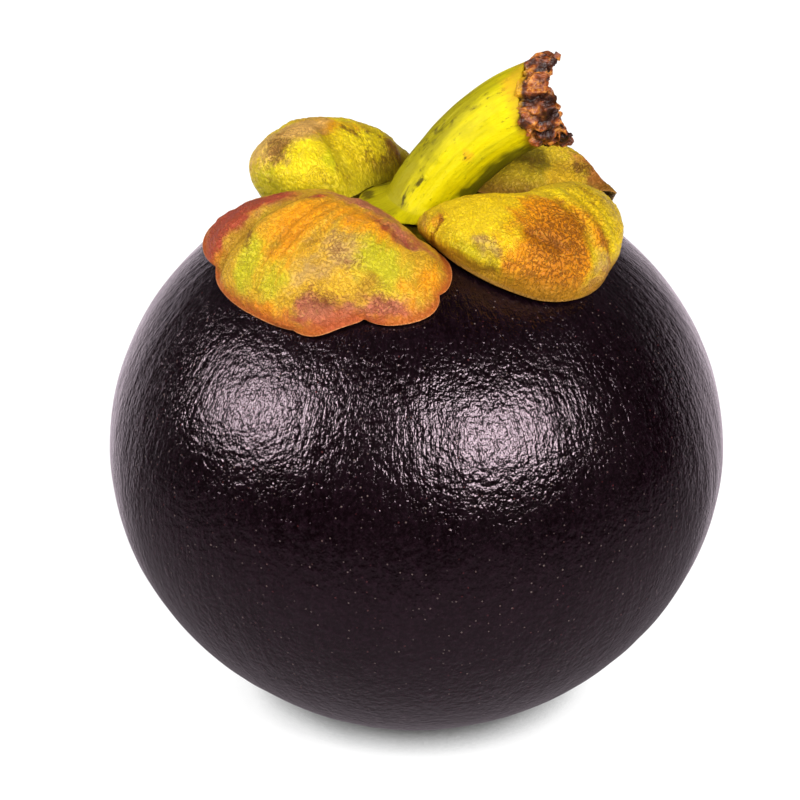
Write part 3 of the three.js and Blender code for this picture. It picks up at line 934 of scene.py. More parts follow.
def stained(tree, colour, full, *stains):
    """The colour under stains, which are full where their mark is so strong. Each is the
    mark that says where it lies, its colour, the pattern that breaks up its outline, how
    strongly that does so, and how well the stain covers."""
    for mark, tone, breaker, ragged, cover in stains:
        where = add_node(tree, "Attribute", attribute_name=mark, output="Fac")
        edge = add_node(tree, "Math", {0: breaker, 1: ragged, 2: where}, operation="MULTIPLY_ADD")
        coat = (tone, edge, ragged / 2 + STAIN_BEGINS, ragged / 2 + full, cover)
        colour = painted(tree, colour, coat)
    return colour


def raised(tree, shader, depth, *layers):
    """Gives the shader a relief of a depth: the sum of patterns, each times its share."""
    height = 0.0
    for pattern, share in layers:
        height = add_node(tree, "Math", {0: pattern, 1: share, 2: height}, operation="MULTIPLY_ADD")
    bump = add_node(tree, "Bump", {"Strength": 1.0, "Distance": depth, "Height": height})
    tree.links.new(bump, shader.inputs["Normal"])


def rind_material(colours, sizes):
    """Mangosteen rind: a thin, waxy, near-black purple skin over a hard shell. The wax gives
    strong, soft highlights, which a grain as fine as orange peel and wrinkles that run up to
    the stem break up, and tiny corky pores stand out pale."""
    material, tree, shader = new_material("waxy_rind_skin")
    place = add_node(tree, "TexCoord", output="Object")
    meridian = add_node(tree, "Attribute", attribute_name="meridian", output="Vector")
    waves = MM / sizes.grain_spacing
    stretched = {0: meridian, 1: (waves, waves, 0.7 * waves)}
    drawn_out = add_node(tree, "VectorMath", stretched, operation="MULTIPLY")
    grain = {"Vector": drawn_out, "Scale": 1.0, "Detail": 1.5, "Roughness": 0.6}
    fine = add_node(tree, "TexNoise", grain)
    upright = add_node(tree, "VectorMath", {0: meridian, 1: (1.2, 1.2, 0.14)}, operation="MULTIPLY")
    wrinkled = {"Vector": upright, "Scale": 1.0, "Detail": 4.0, "Roughness": 0.65}
    wrinkles = add_node(tree, "TexNoise", wrinkled)
    pebbled = {"Vector": place, "Scale": 1 / (0.9 * MM), "Detail": 3.0, "Roughness": 0.6}
    leather = add_node(tree, "TexNoise", pebbled)
    cloudy = add_node(tree, "TexNoise", {"Vector": place, "Scale": 1 / (9 * MM), "Detail": 4.0})

    # Pores: one in each cell of their spacing, but only those that the skin cuts through show.
    pores = add_node(tree, "TexVoronoi", {"Vector": place, "Scale": 1 / PORE_SPACING}).node.outputs
    drawn = add_node(tree, "SeparateColor", {0: pores["Color"]}).node.outputs
    rarer = add_node(tree, "Math", {0: drawn[0], 1: 0.14, 2: pores["Distance"]}, operation="MULTIPLY_ADD")
    # Round both ends of the axis, under the sepals and the rosette, the skin stays green-brown.
    flat_place = add_node(tree, "VectorMath", {0: place, 1: (1, 1, 0)}, operation="MULTIPLY")
    from_axis = add_node(tree, "VectorMath", {0: flat_place}, "Value", operation="LENGTH")
    speck = painted(tree, colours.pore_red, (colours.pore_pale, drawn[1], 0.1, 0.5, 1.0))
    colour = painted(
        tree,
        colours.rind_dark,
        (colours.rind_light, cloudy, 0.35, 0.65, 1.0),
        (colours.rind_bloom, wrinkles, 0.5, 0.75, 0.5),
        (colours.rind_bloom, fine, 0.45, 0.7, 0.7),
        (colours.rind_bloom, leather, 0.5, 0.7, 0.5),
        (speck, rarer, 0.2, 0.11, 0.35),
        (colours.rind_green, from_axis, 10 * MM, 7.5 * MM, 0.9),
    )
    tree.links.new(colour, shader.inputs["Base Color"])
    rough = sizes.rind_roughness
    softness = add_node(tree, "MapRange", {0: cloudy, 1: 0.3, 2: 0.7, 3: rough - 0.02, 4: rough + 0.03})
    tree.links.new(softness, shader.inputs["Roughness"])
    shader.inputs["IOR"].default_value = 1.5
    shader.inputs["Specular IOR Level"].default_value = 0.68
    shader.inputs["Specular Tint"].default_value = linear("#ffe4f0")
    raised(tree, shader, sizes.grain_depth, (fine, 0.85), (leather, 1.5), (wrinkles, 1.2))
    return material


def sepal_material(name, palette):
    """Mangosteen sepal: a thick leathery bract that ripens from yellow-green to gold and
    orange, with a red and a rosy flush, brown corky scuffs where it rubbed, fibres that run
    out from the stem, fine crinkles and a rim. Shade is painted into the crinkles' creases and
    the hollows, light onto the tops of the grain and a thin, paler highlight onto the rim's very
    edge; on one sepal the stem's shadow is painted on. It has a faint waxy sheen."""
    material, tree, shader = new_material(name)
    place = add_node(tree, "TexCoord", output="Object")
    fibre = add_node(tree, "Attribute", attribute_name="fibre", output="Vector")
    # Noises of three sizes: broad clouds, mottling and the grain of the skin.
    broad, mottle, skin = (
        add_node(tree, "TexNoise", {"Vector": place, "Scale": 1 / size, "Detail": detail, "Roughness": rough})
        for size, detail, rough in ((3 * MM, 6.0, 0.6), (0.9 * MM, 5.0, 0.7), (0.3 * MM, 2.0, 0.6))
    )
    long_fibre = add_node(tree, "VectorMath", {0: fibre, 1: (2.0, 0.25, 1.0)}, operation="MULTIPLY")
    streaked = {"Vector": long_fibre, "Scale": 1.0, "Detail": 6.0, "Roughness": 0.65}
    streaks = add_node(tree, "TexNoise", streaked)
    # Crinkles: curved creases, drawn out a little along the fibres, where a noise crosses 0.5.
    short_fibre = add_node(tree, "VectorMath", {0: fibre, 1: (3.4, 2.2, 1.0)}, operation="MULTIPLY")
    creased = {"Vector": short_fibre, "Scale": 1.0, "Detail": 3.0, "Roughness": 0.65}
    crinkled = add_node(tree, "TexNoise", creased)
    crinkled = add_node(tree, "Math", {0: crinkled, 1: 0.5}, operation="SUBTRACT")
    crinkled = add_node(tree, "Math", {0: crinkled}, operation="ABSOLUTE")
    crinkles = add_node(tree, "MapRange", {0: crinkled, 1: 0.0, 2: 0.07}, **STEP)

    colour = painted(tree, palette["ground"], (palette["ripe"], broad, 0.35, 0.65, 1.0))
    colour = stained(
        tree,
        colour,
        1.0,
        ("green", palette["green"], mottle, 0.8, 0.8),
        ("gold", palette["gold"], streaks, 1.8, 0.95),
        ("bloom", palette["bloom"], mottle, 1.8, 0.85),
        ("rose", palette["rose"], mottle, 1.4, 0.9),
        ("flush", palette["flush"], streaks, 1.4, 0.95),
        ("scuff", palette["scuff"], mottle, 2.4, 0.6),
    )
    # The rim's inner edge wanders with the mottling.
    margin = add_node(tree, "Attribute", attribute_name="margin", output="Fac")
    wavy = add_node(tree, "Math", {0: mottle, 1: 2.6, 2: margin}, operation="MULTIPLY_ADD")
    inside = add_node(tree, "Attribute", attribute_name="inside", output="Fac")
    # The creases are wider and darker where the skin is scuffed, and come and go elsewhere.
    scuffed = add_node(tree, "Attribute", attribute_name="scuff", output="Fac")
    furrows = add_node(tree, "Math", {0: scuffed, 1: -0.6, 2: crinkles}, operation="MULTIPLY_ADD")
    furrows = add_node(tree, "Math", {0: broad, 1: 0.8, 2: furrows}, operation="MULTIPLY_ADD")
    hollow_shade = add_node(tree, "Attribute", attribute_name="hollow_shade", output="Fac")
    colour = painted(
        tree,
        colour,
        (palette["scuff"], mottle, 0.6, 0.8, 0.3),  # blotches
        (palette["stain"], streaks, 0.6, 0.8, 0.35),  # darker fibres
        (palette["grain_top_light"], skin, 0.52, 0.75, 0.18),  # painted highlight: lighter on the tops of the skin's grain
        # painted shade along the creases of the crinkles; where scuffed, the wider lines are also its dark
        # corky cracks
        (palette["stain"], furrows, 0.7, 0.1, 0.62),
        (palette["stain"], hollow_shade, 0.15, 1.0, 0.3),  # painted shade in the hollows
        (palette["rim"], wavy, 4.0, 1.8, 0.85),
        # painted highlight on the very edge of the rim
        (palette["edge"], margin, 0.2, 0.08, 0.7),
        (palette["inside"], inside, 0.2, 0.8, 1.0),
    )
    tree.links.new(colour, shader.inputs["Base Color"])
    softness = add_node(tree, "MapRange", {0: skin, 1: 0.3, 2: 0.7, 3: 0.34, 4: 0.55})
    tree.links.new(softness, shader.inputs["Roughness"])
    shader.inputs["IOR"].default_value = 1.45
    shader.inputs["Specular IOR Level"].default_value = 0.25
    raised(tree, shader, 0.17 * MM, (skin, 0.8), (crinkles, 0.4), (mottle, 1.2))
    return material


def stem_material(colours):
    """Mangosteen stem: fresh, smooth green wood that has turned bright yellow-green, olive
    in places, with soft streaks along it, dark flecks and a small healed scar. Its underside is
    darkened with painted shade in olive. It has a soft, waxy sheen."""
    material, tree, shader = new_material("fresh_stem_skin")
    place = add_node(tree, "TexCoord", output="Object")
    fibre = add_node(tree, "Attribute", attribute_name="fibre", output="Vector")
    along = add_node(tree, "VectorMath", {0: fibre, 1: (1.3, 1.3, 0.13)}, operation="MULTIPLY")
    streaks = add_node(tree, "TexNoise", {"Vector": along, "Scale": 1.0, "Detail": 5.0, "Roughness": 0.6})
    flecked = add_node(tree, "VectorMath", {0: fibre, 1: (2.4, 2.4, 1.1)}, operation="MULTIPLY")
    flecks = add_node(tree, "TexNoise", {"Vector": flecked, "Scale": 1.0, "Detail": 3.0, "Roughness": 0.7})
    broad = add_node(tree, "TexNoise", {"Vector": place, "Scale": 1 / (3 * MM), "Detail": 5.0})
    skin = add_node(tree, "TexNoise", {"Vector": place, "Scale": 1 / (0.3 * MM), "Detail": 3.0})
    colour = painted(tree, colours.stem_yellow, (colours.stem_green, streaks, 0.45, 0.75, 0.55))
    colour = stained(
        tree,
        colour,
        0.9,
        # olive, and painted shade where these marks lie on the underside
        ("green", colours.stem_olive_and_shade, streaks, 1.1, 0.8),
        # painted shade on the underside
        ("shade", colours.stem_painted_shade, streaks, 1.2, 0.8),
        ("gold", colours.stem_gold, flecks, 0.8, 0.85),
        ("scuff", colours.stem_scuff, flecks, 2.4, 0.9),
    )
    torn = add_node(tree, "Attribute", attribute_name="torn", output="Fac")
    near_torn = add_node(tree, "Math", {0: flecks, 1: 0.07, 2: torn}, operation="MULTIPLY_ADD")
    colour = painted(
        tree,
        colour,
        (colours.stem_olive_and_shade, broad, 0.5, 0.75, 0.35),
        (colours.stem_fleck, flecks, 0.62, 0.76, 0.6),
        (colours.stem_dried, near_torn, 0.96, 1.04, 0.8),
    )
    tree.links.new(colour, shader.inputs["Base Color"])
    softness = add_node(tree, "MapRange", {0: streaks, 1: 0.3, 2: 0.7, 3: 0.44, 4: 0.6})
    tree.links.new(softness, shader.inputs["Roughness"])
    shader.inputs["IOR"].default_value = 1.45
    shader.inputs["Specular IOR Level"].default_value = 0.15
    raised(tree, shader, 0.1 * MM, (skin, 0.5), (streaks, 2.0), (flecks, 0.6))
    return material


def crust_material(colours):
    """Dried plant tissue: torn, shrunken fibres that bled and hardened, dark and red-brown, amber
    where thin, with shade painted near-black into the creases and a resinous gloss on the lumps."""
    material, tree, shader = new_material("dried_torn_tissue")
    place = add_node(tree, "TexCoord", output="Object")
    broad = add_node(tree, "TexNoise", {"Vector": place, "Scale": 1 / (1.5 * MM), "Detail": 4.0})
    grain = {"Vector": place, "Scale": 1 / (0.35 * MM), "Detail": 4.0, "Roughness": 0.6}
    fine = add_node(tree, "TexNoise", grain)
    crevice_shade = add_node(tree, "Attribute", attribute_name="crevice_shade", output="Fac")
    hollow = add_node(tree, "Attribute", attribute_name="hollow", output="Fac")
    fresh = add_node(tree, "Attribute", attribute_name="fresh", output="Fac")
    amber = add_node(tree, "Math", {0: fine, 1: 0.8, 2: broad}, operation="MULTIPLY_ADD")
    colour = painted(
        tree,
        colours.crust_dark,
        (colours.crust_light, broad, 0.4, 0.58, 1.0),
        (colours.crust_amber, amber, 0.92, 1.1, 0.9),
        (colours.crust_fresh, fresh, 0.3, 0.7, 0.85),
        # painted shade in the creases between the lumps
        (colours.crust_crease_shade, crevice_shade, 0.45, 0.95, 0.9),
        (colours.crust_hollow, hollow, 0.0, 1.0, 0.7),
    )
    tree.links.new(colour, shader.inputs["Base Color"])
    softness = add_node(tree, "MapRange", {0: fine, 1: 0.3, 2: 0.7, 3: 0.22, 4: 0.45})
    tree.links.new(softness, shader.inputs["Roughness"])
    shader.inputs["IOR"].default_value = 1.5
    raised(tree, shader, 0.14 * MM, (fine, 1.0))
    return material


def cork_material(colours):
    """Woody stigma rosette: dry, grey-brown cork with shade painted dark into its clefts and cracks, quite
    matt.
    """
    material, tree, shader = new_material("woody_cork")
    place = add_node(tree, "TexCoord", output="Object")
    grain = add_node(tree, "TexNoise", {"Vector": place, "Scale": 1 / (0.8 * MM), "Detail": 5.0})
    crevice_shade = add_node(tree, "Attribute", attribute_name="crevice_shade", output="Fac")
    colour = painted(
        tree,
        colours.cork,
        (colours.cork_light, grain, 0.35, 0.65, 1.0),
        # painted shade in the clefts and cracks
        (colours.cork_cleft_shade, crevice_shade, 0.2, 1.0, 0.9),
    )
    tree.links.new(colour, shader.inputs["Base Color"])
    shader.inputs["Roughness"].default_value = 0.75
    raised(tree, shader, 0.1 * MM, (grain, 1.0))
    return material


# The colours of each sepal: its own skin and where that is riper, its stains, the light painted on
# the grain's tops, its darker fibres and the shade painted into its creases and hollows (stain),
# the rim, the highlight painted on its very edge, and the inner face.
PALETTES = {
    "sepal_front_left": {
        "ground": "#d09e22", "ripe": "#e0ac28", "green": "#bcb816", "gold": "#f49c10", "flush": "#ac4030",
        "rose": "#b86452", "bloom": "#c8a05c", "scuff": "#844628", "grain_top_light": "#f0d060", "stain": "#6a3014",
        "rim": "#b45022", "edge": "#dc9058", "inside": "#8a6428",
    },
    "sepal_front_right": {
        "ground": "#e2b80e", "ripe": "#ecc616", "green": "#bcac0a", "gold": "#e48c0c", "flush": "#8c4a32",
        "rose": "#b87850", "bloom": "#b09050", "scuff": "#a85a0a", "grain_top_light": "#f0da50", "stain": "#5a2c08",
        "rim": "#b07a1c", "edge": "#b8863c", "inside": "#8a6428",
    },
    "sepal_back_left": {
        "ground": "#e6c40e", "ripe": "#f0d616", "green": "#ccc80e", "gold": "#dc920e", "flush": "#84401c",
        "rose": "#c8805a", "bloom": "#dcaa5e", "scuff": "#7c4612", "grain_top_light": "#f4de60", "stain": "#5e3c08",
        "rim": "#c4b018", "edge": "#b49c28", "inside": "#8a6428",
    },
    "sepal_back_right": {
        # Its green is dark olive: it also paints the stem's shadow next to the stem.
        "ground": "#d0b01c", "ripe": "#e0bc26", "green": "#665a06", "gold": "#dcac1c", "flush": "#a04a1e",
        "rose": "#c06a32", "bloom": "#b8905a", "scuff": "#6e440e", "grain_top_light": "#dcc060", "stain": "#5e3c10",
        "rim": "#8c601c", "edge": "#b07a3c", "inside": "#705424",
    },
}
SEPAL_SLOTS = {
    "sepal_front_left": "sepal_orange",
    "sepal_front_right": "sepal_gold",
    "sepal_back_left": "sepal_yellow",
    "sepal_back_right": "sepal_olive",
}


# ---- Settings ----


def a_length(name, default, text):
    """A setting that is a length in metres."""
    return bpy.props.FloatProperty(
        name=name, description=text, default=default, unit="LENGTH", subtype="DISTANCE", precision=5
    )


def a_colour(name, code, text):
    """A setting that is a colour, from its sRGB hex."""
    return bpy.props.FloatVectorProperty(
        name=name, description=text, default=linear(code), size=4, subtype="COLOR", min=0, max=1
    )


class MangosteenSizes(bpy.types.PropertyGroup):
    """The fruit's sizes and its gloss"""

    fruit_radius: a_length("Fruit radius", RIND_HIGH[0] * MM, "Half the greatest diameter of the fruit")
    grain_spacing: a_length("Grain spacing", 0.38 * MM, "Distance between the pebbles of the rind")
    grain_depth: a_length("Grain depth", 0.1 * MM, "Height of the pebbles of the rind")
    stem_radius: a_length("Stem radius", 3.42 * MM, "Half the stem's thickness just over its collar")
    stem_tip_radius: a_length("Stem tip radius", 4.25 * MM, "Half the stem's thickness at its torn end")
    rosette_radius: a_length("Rosette radius", ROSETTE_HIGH[0] * MM, "From the axis to the tip of a lobe")
    rind_roughness: bpy.props.FloatProperty(
        name="Rind roughness",
        description="How soft the rind's highlights are",
        default=0.155,
        min=0.05,
        max=1,
    )


class MangosteenColours(bpy.types.PropertyGroup):
    """The colours of everything but the sepals, which have palettes of their own"""

    rind_dark: a_colour("Rind, dark", "#080204", "The near-black of the rind's darker clouds")
    rind_light: a_colour("Rind, light", "#0d0508", "The purple-brown of its lighter clouds")
    rind_bloom: a_colour("Rind bloom", "#1a0d14", "The dull streaks that run up to the stem")
    rind_green: a_colour("Rind, green", "#7c6a14", "The green-brown round both ends of the axis")
    pore_pale: a_colour("Pores, pale", "#9a8680", "The paler corky pores of the rind")
    pore_red: a_colour("Pores, red", "#6a2e30", "Its reddish pores")
    stem_yellow: a_colour("Stem", "#d8c802", "The bright yellow-green of the stem")
    stem_green: a_colour("Stem, streaks", "#b8ac08", "The greener streaks along it")
    # The stem's olive, also used as painted shade on its underside.
    stem_olive_and_shade: a_colour("Stem, shade", "#8a8008", "The olive of its shaded sides")
    # Painted shade: the deep olive painted on the stem's underside.
    stem_painted_shade: a_colour("Stem, deep shade", "#444002", "The deep olive of its underside")
    stem_gold: a_colour("Stem, gold", "#dba51a", "The golden patches where it ripened")
    stem_scuff: a_colour("Stem, scars", "#453a0c", "Its small brown scars and scuffs")
    stem_fleck: a_colour("Stem, flecks", "#6e6412", "The dark flecks all over it")
    stem_dried: a_colour("Stem, dried", "#b9921a", "Where it dries out next to the torn end")
    crust_dark: a_colour("Torn end, dark", "#3c1c12", "Thick, dark parts of the torn end")
    crust_light: a_colour("Torn end, light", "#94481e", "Its lighter, red-brown parts")
    crust_amber: a_colour("Torn end, amber", "#d88a34", "Its thin, amber parts")
    crust_fresh: a_colour("Torn end, fresh", "#d8a018", "The strip of skin that is still fresh")
    # Painted shade: the near-black painted into the creases of the torn end.
    crust_crease_shade: a_colour("Torn end, creases", "#1c0c08", "The creases between its lumps")
    crust_hollow: a_colour("Torn end, hollow", "#2a140c", "The hollow in its middle")
    cork: a_colour("Rosette", "#5e4436", "The cork of the rosette under the fruit")
    cork_light: a_colour("Rosette, light", "#8a6b52", "The paler grain of its cork")
    # Painted shade: the dark painted into the rosette's clefts and cracks.
    cork_cleft_shade: a_colour("Rosette, clefts", "#1e130f", "The clefts between its lobes, and its cracks")


# ---- Operators ----

# The rows and columns of each piece's grid.
GRIDS = {
    "rind": (226, 430),
    "sepal": (186, 356),
    "stem": (220, 200),
    "torn_end": (180, 330),
    "rosette": (120, 240),
}


class PieceOperator:
    """What every piece's operator shares: it can be undone, and settles what it made."""

    bl_options = {"REGISTER", "UNDO"}

    def settle(self, piece, node, slot, material):
        """Gives a piece its material and its body, and hides the CAD node that it replaces. The slot is not
        used.
        """
        piece.data.materials.append(material)
        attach(piece, "root")
        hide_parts(node)


class MANGOSTEEN_OT_rind(PieceOperator, bpy.types.Operator):
    """Adds the glossy rind"""

    bl_idname = "mangosteen.rind"
    bl_label = "Rind"

    def execute(self, context):
        sizes, colours = context.scene.mangosteen_sizes, context.scene.mangosteen_colours
        shape = RindShape(sizes.fruit_radius / MM)
        piece = closed_mesh("fruit_rind", *rind_grid(shape, *GRIDS["rind"]))
        self.settle(piece, "rind", "rind_skin", rind_material(colours, sizes))
        return {"FINISHED"}


class MANGOSTEEN_OT_sepals(PieceOperator, bpy.types.Operator):
    """Adds the four curled sepals"""

    bl_idname = "mangosteen.sepals"
    bl_label = "Sepals"

    def execute(self, context):
        shape = RindShape(context.scene.mangosteen_sizes.fruit_radius / MM)
        for name in HOODS:
            palette = {key: linear(code) for key, code in PALETTES[name].items()}
            surface = hood_grid(name, shape, *GRIDS["sepal"])
            piece = closed_mesh(name.replace("sepal", "hood"), *surface)
            self.settle(piece, name, SEPAL_SLOTS[name], sepal_material("leathery_" + name, palette))
        return {"FINISHED"}


class MANGOSTEEN_OT_stem(PieceOperator, bpy.types.Operator):
    """Adds the bent stem and its torn end"""

    bl_idname = "mangosteen.stem"
    bl_label = "Stem"

    def execute(self, context):
        sizes, colours = context.scene.mangosteen_sizes, context.scene.mangosteen_colours
        shape = StemShape(sizes.stem_radius / MM, sizes.stem_tip_radius / MM)
        piece = closed_mesh("bent_stem", *stem_grid(shape, *GRIDS["stem"]))
        self.settle(piece, "stem", "stem_skin", stem_material(colours))
        piece = closed_mesh("torn_end", *torn_grid(shape, *GRIDS["torn_end"]))
        self.settle(piece, "torn_stem_end", "dried_tissue", crust_material(colours))
        return {"FINISHED"}


class MANGOSTEEN_OT_rosette(PieceOperator, bpy.types.Operator):
    """Adds the woody rosette that the fruit stands on"""

    bl_idname = "mangosteen.rosette"
    bl_label = "Rosette"

    def execute(self, context):
        sizes, colours = context.scene.mangosteen_sizes, context.scene.mangosteen_colours
        surface = rosette_grid(sizes.rosette_radius / MM, *GRIDS["rosette"])
        piece = closed_mesh("rosette", *surface)
        self.settle(piece, "stigma_rosette", "rosette_cork", cork_material(colours))
        return {"FINISHED"}


# ---- The stage ----

CAMERA_ELEVATION = math.radians(26)
CAMERA_DISTANCE = 0.42  # metres, from what it looks at
CAMERA_LENS = 186.9  # mm, on a sensor 36 mm wide
FRAME_SHIFT = (-1.65 * MM, 4.55 * MM)  # from the rind's middle to what the camera looks at
# Two soft boxes: how far round from the front (towards +X) and how high (degrees), how wide
# (metres), and watts.
SOFT_BOXES = {"soft_box_left": (-73, 30, 0.4, 8.4), "soft_box_right": (34, 35.5, 0.44, 11.6)}
SOFT_BOX_DISTANCE = 1.0
FILL_LIGHT = 0.2
FLOOR_SIZE = 3  # metres, from its middle to its edges
FLOOR_GLOW = 0.92
# The fruit's shadow on the floor is a painted shadow: the floor's glow dims where little sky within this
# reach is open over it.
SHADOW_REACH = 8 * MM
SHADOW_LEAN = math.radians(66)  # how far the sky that the shadow sees leans to the front
SHADOW_EDGE = (0.58, 0.8)  # how open that sky is where the shadow is full, and where it ends
# What only a gloss shows of the room: a dark dome, a backdrop that reaches up to a height
# (degrees) and brightens towards the back, and a floor that fades out round the fruit.
ROOM_RADIUS = 1.5
BACKDROP_RISE = 28
BACKDROP_RADIUS = 0.98 * ROOM_RADIUS
BACKDROP_GLOW = 0.8
BACK_BEGINS, BACK_FULL = 0.4, 0.95  # how squarely to the back that glow begins and is full
BACK_REACH = 0.8  # metres out, where it has dropped to its low share
BACK_LOW = 0.15
FLOOR_BACK_GLOW = 1.45
FLOOR_CARD_GLOW = 0.25
FLOOR_CARD_FADES = (0.05, 0.2)
FLOOR_CARD_HOLE = 9.5 * MM  # leaves out the spot that the fruit stands on
FLOOR_CARD_LIFT = 0.6 * MM


def seen_directly(tree):
    """1 for rays from the camera and for those that gloss or glass sends on, 0 for the rest."""
    path = add_node(tree, "LightPath").node.outputs
    first_two = {0: path["Is Camera Ray"], 1: path["Is Glossy Ray"]}
    seen = add_node(tree, "Math", first_two, operation="MAXIMUM")
    return add_node(tree, "Math", {0: seen, 1: path["Is Transmission Ray"]}, operation="MAXIMUM")


def stage_sheet(name, points, material):
    """A sheet of the stage, from rows and columns of points."""
    rows, columns = points.shape[:2]
    first = (np.arange(rows - 1)[:, None] * columns + np.arange(columns - 1)).ravel()
    quads = np.stack([first, first + 1, first + columns + 1, first + columns], -1)
    mesh = bpy.data.meshes.new(name)
    mesh.from_pydata(points.reshape(-1, 3).tolist(), [], quads.tolist())
    mesh.shade_smooth()
    mesh.materials.append(material)
    sheet = bpy.data.objects.new(name, mesh)
    bpy.context.scene.collection.objects.link(sheet)
    return sheet


def screen(name, profile, near_glow, back_glow):
    """A screen round the fruit that only a gloss shows, like the flags of a studio: a profile
    turned round the axis. It glows near the fruit and towards the back."""
    material, tree, shader = new_material(name)
    place = add_node(tree, "TexCoord", output="Object")
    away = add_node(tree, "VectorMath", {0: place}, "Value", operation="LENGTH")
    fades, faded = FLOOR_CARD_FADES
    near = add_node(tree, "MapRange", {0: away, 1: fades, 2: faded, 3: near_glow, 4: 0.0})
    reach = add_node(tree, "MapRange", {0: away, 1: fades, 2: BACK_REACH, 3: 1.0, 4: BACK_LOW})
    way = add_node(tree, "VectorMath", {0: place}, operation="NORMALIZE")
    behind = add_node(tree, "SeparateXYZ", {0: way}, "Y")
    back = add_node(tree, "MapRange", {0: behind, 1: BACK_BEGINS, 2: BACK_FULL, 3: 0.0, 4: back_glow})
    back = add_node(tree, "Math", {0: back, 1: reach}, operation="MULTIPLY")
    glow = add_node(tree, "Math", {0: near, 1: back}, operation="ADD")
    shader.inputs["Base Color"].default_value = linear("#000000")
    shader.inputs["Roughness"].default_value = 1.0
    shader.inputs["Specular IOR Level"].default_value = 0.0
    shader.inputs["Emission Color"].default_value = linear("#fcecf8")
    tree.links.new(glow, shader.inputs["Emission Strength"])
    turn, row = np.meshgrid(np.linspace(0, TURN, 91), range(len(profile)))
    distance, height = np.array(profile)[row].transpose(2, 0, 1)
    points = np.stack([distance * np.sin(turn), -distance * np.cos(turn), height], -1)
    sheet = stage_sheet(name, points, material)
    sheet.visible_camera = sheet.visible_diffuse = sheet.visible_shadow = False


def studio_world(scene):
    """A world that the camera and the glosses see as white, and that lights little else."""
    world = bpy.data.worlds.new("studio")
    world.use_nodes = True
    tree = world.node_tree
    background = tree.nodes["Background"]
    strength = add_node(tree, "MapRange", {0: seen_directly(tree), 3: FILL_LIGHT, 4: 1.0})
    tree.links.new(strength, background.inputs["Strength"])
    background.inputs["Color"].default_value = (1, 1, 1, 1)
    scene.world = world


def pale_floor():
    """Pale matt board. Seen directly it is lit white, but for the fruit's shadow, which is painted into its
    glow where little sky is open over it.
    """
    material, tree, shader = new_material("pale_board")
    seen = seen_directly(tree)
    shader.inputs["Roughness"].default_value = 1.0
    shader.inputs["Specular IOR Level"].default_value = 0.0
    shader.inputs["Emission Color"].default_value = (1, 1, 1, 1)
    # Its own colour is darker where it is seen directly, since the glow is added there.
    board = painted(tree, linear("#dddddd"), (linear("#7c7c7c"), seen, 0.0, 1.0, 1.0))
    tree.links.new(board, shader.inputs["Base Color"])
    # Painted shadow: the glow is dimmed where the ambient occlusion finds the fruit close over the floor.
    lean = {"Y": -math.sin(SHADOW_LEAN), "Z": math.cos(SHADOW_LEAN)}
    sky_way = add_node(tree, "CombineXYZ", lean)
    sky = {"Distance": SHADOW_REACH, "Normal": sky_way}
    open_sky = add_node(tree, "AmbientOcclusion", sky, "AO", samples=16)
    dark, clear = SHADOW_EDGE
    shadow = {0: open_sky, 1: dark, 2: clear, 3: 0.0, 4: FLOOR_GLOW}
    glow = add_node(tree, "MapRange", shadow, **STEP)
    glow = add_node(tree, "Math", {0: seen, 1: glow}, operation="MULTIPLY")
    tree.links.new(glow, shader.inputs["Emission Strength"])
    steps = np.linspace(-FLOOR_SIZE, FLOOR_SIZE, 7)
    x, y = np.meshgrid(steps, steps)
    stage_sheet("floor", np.stack([x, y, x * 0], -1), material)


def gloss_screens():
    """The dome, the backdrop and the floor that only a gloss shows."""
    rise = np.radians(np.linspace(0, 89, 30))
    dome = ROOM_RADIUS * np.stack([np.cos(rise), np.sin(rise)], -1)
    screen("dark_room", dome, 0.0, 0.0)
    rise = np.radians(np.linspace(0, BACKDROP_RISE, 12))
    low_wall = BACKDROP_RADIUS * np.stack([np.cos(rise), np.sin(rise)], -1)
    screen("backdrop", low_wall, 0.0, BACKDROP_GLOW)
    edges = (FLOOR_CARD_HOLE, *FLOOR_CARD_FADES, ROOM_RADIUS)
    floor_line = [(edge, FLOOR_CARD_LIFT) for edge in edges]
    screen("floor_seen_in_gloss", floor_line, FLOOR_CARD_GLOW, FLOOR_BACK_GLOW)


def soft_boxes(scene, middle):
    """Square lamps that all face the middle of the fruit."""
    for name, (around, height, width, power) in SOFT_BOXES.items():
        around, height = math.radians(around), math.radians(height)
        level = math.cos(height)
        way = Vector((math.sin(around) * level, -math.cos(around) * level, math.sin(height)))
        lamp = bpy.data.lights.new(name, "AREA")
        lamp.shape, lamp.size, lamp.energy = "SQUARE", width, power
        box = bpy.data.objects.new(name, lamp)
        box.location = middle + way * SOFT_BOX_DISTANCE
        box.rotation_euler = way.to_track_quat("Z", "Y").to_euler()
        scene.collection.objects.link(box)


def front_camera(scene, middle):
    """The camera: straight in front, looking down at the fruit."""
    up = Vector((0, math.sin(CAMERA_ELEVATION), math.cos(CAMERA_ELEVATION)))
    back = Vector((0, -math.cos(CAMERA_ELEVATION), math.sin(CAMERA_ELEVATION)))
    camera = bpy.data.objects.new("camera", bpy.data.cameras.new("camera"))
    camera.data.lens = CAMERA_LENS
    camera.data.clip_start = 0.01
    target = middle + Vector((FRAME_SHIFT[0], 0, 0)) + up * FRAME_SHIFT[1]
    camera.location = target + back * CAMERA_DISTANCE
    camera.rotation_euler = (math.pi / 2 - CAMERA_ELEVATION, 0, 0)
    scene.collection.objects.link(camera)
    scene.camera = camera


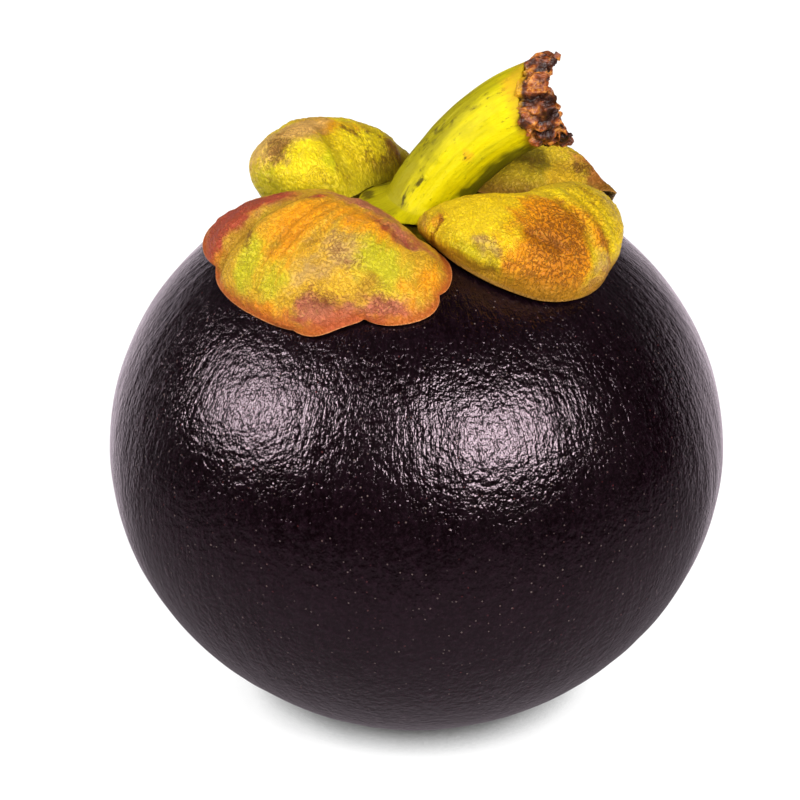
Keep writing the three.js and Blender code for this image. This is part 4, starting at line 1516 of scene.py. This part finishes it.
class MANGOSTEEN_OT_stage(bpy.types.Operator):
    """Adds the floor, the screens, the lights and the camera"""

    bl_idname = "mangosteen.stage"
    bl_label = "Stage"
    bl_options = {"REGISTER", "UNDO"}

    def execute(self, context):
        scene = context.scene
        scene.view_settings.view_transform = "Standard"
        middle = Vector((0, 0, EQUATOR_Z * MM))
        studio_world(scene)
        pale_floor()
        gloss_screens()
        soft_boxes(scene, middle)
        front_camera(scene, middle)
        return {"FINISHED"}


# ---- Panel, registration and the run ----

OPERATORS = (
    MANGOSTEEN_OT_rind,
    MANGOSTEEN_OT_sepals,
    MANGOSTEEN_OT_stem,
    MANGOSTEEN_OT_rosette,
    MANGOSTEEN_OT_stage,
)


class MANGOSTEEN_PT_panel(bpy.types.Panel):
    """The settings, and a button for each piece"""

    bl_label = "Mangosteen"
    bl_idname = "MANGOSTEEN_PT_panel"
    bl_space_type = "VIEW_3D"
    bl_region_type = "UI"
    bl_category = "Mangosteen"

    def draw(self, context):
        for settings in (context.scene.mangosteen_sizes, context.scene.mangosteen_colours):
            box = self.layout.box()
            for key in settings.bl_rna.properties.keys():
                if key not in ("rna_type", "name"):
                    box.prop(settings, key)
        for operator in OPERATORS:
            self.layout.operator(operator.bl_idname)


CLASSES = (MangosteenSizes, MangosteenColours, *OPERATORS, MANGOSTEEN_PT_panel)


def register():
    """Makes the settings, the operators and the panel known to Blender."""
    for cls in CLASSES:
        bpy.utils.register_class(cls)
    bpy.types.Scene.mangosteen_sizes = bpy.props.PointerProperty(type=MangosteenSizes)
    bpy.types.Scene.mangosteen_colours = bpy.props.PointerProperty(type=MangosteenColours)


def unregister():
    """Takes them away again."""
    del bpy.types.Scene.mangosteen_colours
    del bpy.types.Scene.mangosteen_sizes
    for cls in reversed(CLASSES):
        bpy.utils.unregister_class(cls)


def main():
    """Builds the whole scene."""
    register()
    bpy.ops.mangosteen.rind()
    bpy.ops.mangosteen.sepals()
    bpy.ops.mangosteen.stem()
    bpy.ops.mangosteen.rosette()
    bpy.ops.mangosteen.stage()


if __name__ == "__main__":
    main()
